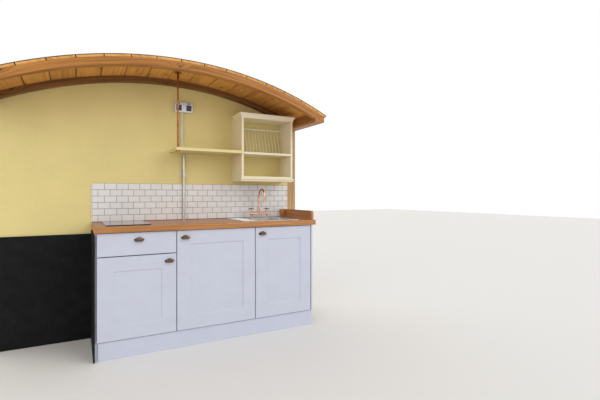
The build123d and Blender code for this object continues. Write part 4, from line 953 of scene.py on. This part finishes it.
# Partly painted light: the rack's cream is made warmer, as the warm light bounced from the pine ceiling.
RACK_CREAM_WARM_LIGHT = (0.79, 0.70, 0.51, 1)
brush = {"uneven": 0.12, "rough": 0.45, "relief": 0.4}
dress(nodes["shelf"], paint("yellow cream shelf paint", SHELF_CREAM, "x", **brush))
dress(nodes["rack_sides"], paint("cream rack paint upright", RACK_CREAM_WARM_LIGHT, "z", **brush))
rack_paint = paint("cream rack paint level", RACK_CREAM_WARM_LIGHT, "x", **brush)
for name in ("rack_shelves", "rack_cornice", "rack_pelmet"):
    dress(nodes[name], rack_paint)
dress(nodes["rack_dowels"], paint("cream dowel paint", RACK_CREAM_WARM_LIGHT, "z", uneven=0.1, rough=0.42, relief=0.2))

# The double socket is a brushed steel plate on a white moulded box, held by a screw at either end.
# Its two black inserts have the pin holes, and over each is a black rocker switch, pressed in at its foot.
PLATE_STEEL = (0.46, 0.45, 0.44, 1)
PIN_HOLE_SHADE_BLACK = (0.001, 0.001, 0.001, 1)
PIN_HOLE_SHADE_SPECK = (0.004, 0.004, 0.004, 1)
OUTLET_X = 0.041
FACE_SCREW_R, FACE_SCREW_PROUD = 0.0035, 0.0001
FACE_SCREW_X, FACE_SCREW_UP = 0.0603, 0.002
INSERT_DEPTH = 0.0005
PIN_FLOOR = 0.0002
ROCKER_MIDDLE = 0.029
ROCKER_TILT = 0.0014
# Centre from the middle of the plate, then width and height.
PIN_HOLES = (
    (0.0, 0.0075, 0.0045, 0.0090), (-0.0111, -0.0150, 0.0072, 0.0045), (0.0111, -0.0150, 0.0072, 0.0045),
)
dress(nodes["socket_box"], white_plastic)
dress(nodes["socket_plate"], metal("brushed socket plate", PLATE_STEEL, "x", rough=0.26))
low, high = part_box("socket_plate")
socket_x, socket_z = (low.x + high.x) / 2, (low.z + high.z) / 2
face_y = low.y


def insert_block(name, x, half_width, foot, head, proud, edge):
    """Plastic block let into the plate; its foot and head are heights from the plate's middle."""
    corner = (x - half_width, face_y - proud, socket_z + foot)
    return block(name, corner, (x + half_width, face_y + INSERT_DEPTH, socket_z + head), edge)


inserts = []
for side in (-1, 1):
    outlet_x = socket_x + side * OUTLET_X
    insert = insert_block(
        "insert", outlet_x, half_width=0.022, foot=-0.030, head=0.018, proud=0.0012, edge=0.0007,
    )
    for pin_x, pin_z, pin_w, pin_h in PIN_HOLES:
        x, z = outlet_x + pin_x, socket_z + pin_z
        corner = (x - pin_w / 2, face_y - 0.003, z - pin_h / 2)
        cut_out(insert, corner, (x + pin_w / 2, face_y - PIN_FLOOR, z + pin_h / 2))
    rocker = insert_block(
        "rocker", outlet_x, half_width=0.0055, foot=0.022, head=0.036, proud=0.0028, edge=0.0008,
    )
    for vertex in rocker.data.vertices:
        if vertex.co.y < face_y and vertex.co.z < socket_z + ROCKER_MIDDLE:
            vertex.co.y += ROCKER_TILT
    inserts += [insert, rocker]
inserts = keep(joined("socket_inserts", inserts), black_plastic)
# Painted shade: the floors of the pin holes are coloured near black, with a faint speck.
pin_hole_shade, tree, shader = new_finish("unlit pin holes", {"Roughness": 0.8, "Specular IOR Level": 0.1})
speck = noise(tree, in_place(tree), 300.0, 2.0)
tree.links.new(mix(tree, speck, PIN_HOLE_SHADE_BLACK, PIN_HOLE_SHADE_SPECK), shader.inputs["Base Color"])
inserts.data.materials.append(pin_hole_shade)
for face in inserts.data.polygons:
    if abs(face.center.y - (face_y - PIN_FLOOR)) < 0.00005 and face.normal.y < -0.9:
        face.material_index = 1
screw_y, screw_z = face_y - FACE_SCREW_PROUD, socket_z + FACE_SCREW_UP
places = [((socket_x + side * FACE_SCREW_X, screw_y, screw_z), "-y") for side in (-1, 1)]
face_screw = screw_head(FACE_SCREW_R)
keep(set_out("socket_screws", face_screw, places), polished)
bpy.data.objects.remove(face_screw)

# The socket's cable comes up from the shelf in mini trunking, a plastic channel with a clipped-on lid.
# Both are coloured a warm ivory. Below the shelf the cable runs in galvanised steel conduit, held by a saddle
# clip and two screws.
TRUNK_IVORY = (0.68, 0.595, 0.43, 1)
TRUNK_DEEP = (0.62, 0.535, 0.375, 1)
# Painted reflection: the conduit's grey is tinted warm yellow, as the yellow wall reflected in it; the duller
# tone is tarnish.
GALVANISED_WALL_REFLECTION = (0.51, 0.495, 0.445, 1)
GALVANISED_TARNISH_WALL_REFLECTION = (0.36, 0.35, 0.31, 1)
LID_DEPTH = 0.0035
LID_LAP = 0.0012
LID_OVERHANG = 0.0008
LID_SHORT = 0.0004
CLIP_SCREW_IN, CLIP_SCREW_R = 0.0068, 0.0036
CLIP_T = 0.0021
low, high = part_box("trunking")
lid_y = low.y + LID_DEPTH
base_foot, base_head = (low.x + LID_OVERHANG, lid_y, low.z), (high.x - LID_OVERHANG, high.y, high.z)
lid_foot, lid_head = (low.x, low.y, low.z + LID_SHORT), (high.x, lid_y + LID_LAP, high.z - LID_SHORT)
trunk = block("trunking_base", base_foot, base_head, edge=0.0006)
lid = block("trunking_lid", lid_foot, lid_head, edge=0.0012)
ivory_trunk_plastic = moulded_plastic("ivory trunking plastic", TRUNK_IVORY, TRUNK_DEEP)
trunk = keep(joined("cable_trunking", [trunk, lid]), ivory_trunk_plastic)
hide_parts("trunking")

conduit_steel = metal("galvanised conduit with painted wall reflection", GALVANISED_WALL_REFLECTION, "z", rough=0.30, relief=0.12, tarnish=GALVANISED_TARNISH_WALL_REFLECTION)
dress(nodes["conduit"], conduit_steel)
dress(nodes["conduit_clip"], conduit_steel)
low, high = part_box("conduit_clip")
middle_z = (low.z + high.z) / 2
places = [((x, high.y - CLIP_T, middle_z), "-y") for x in (low.x + CLIP_SCREW_IN, high.x - CLIP_SCREW_IN)]
clip_screw = screw_head(CLIP_SCREW_R)
keep(set_out("clip_screws", clip_screw, places), zinc)
bpy.data.objects.remove(clip_screw)
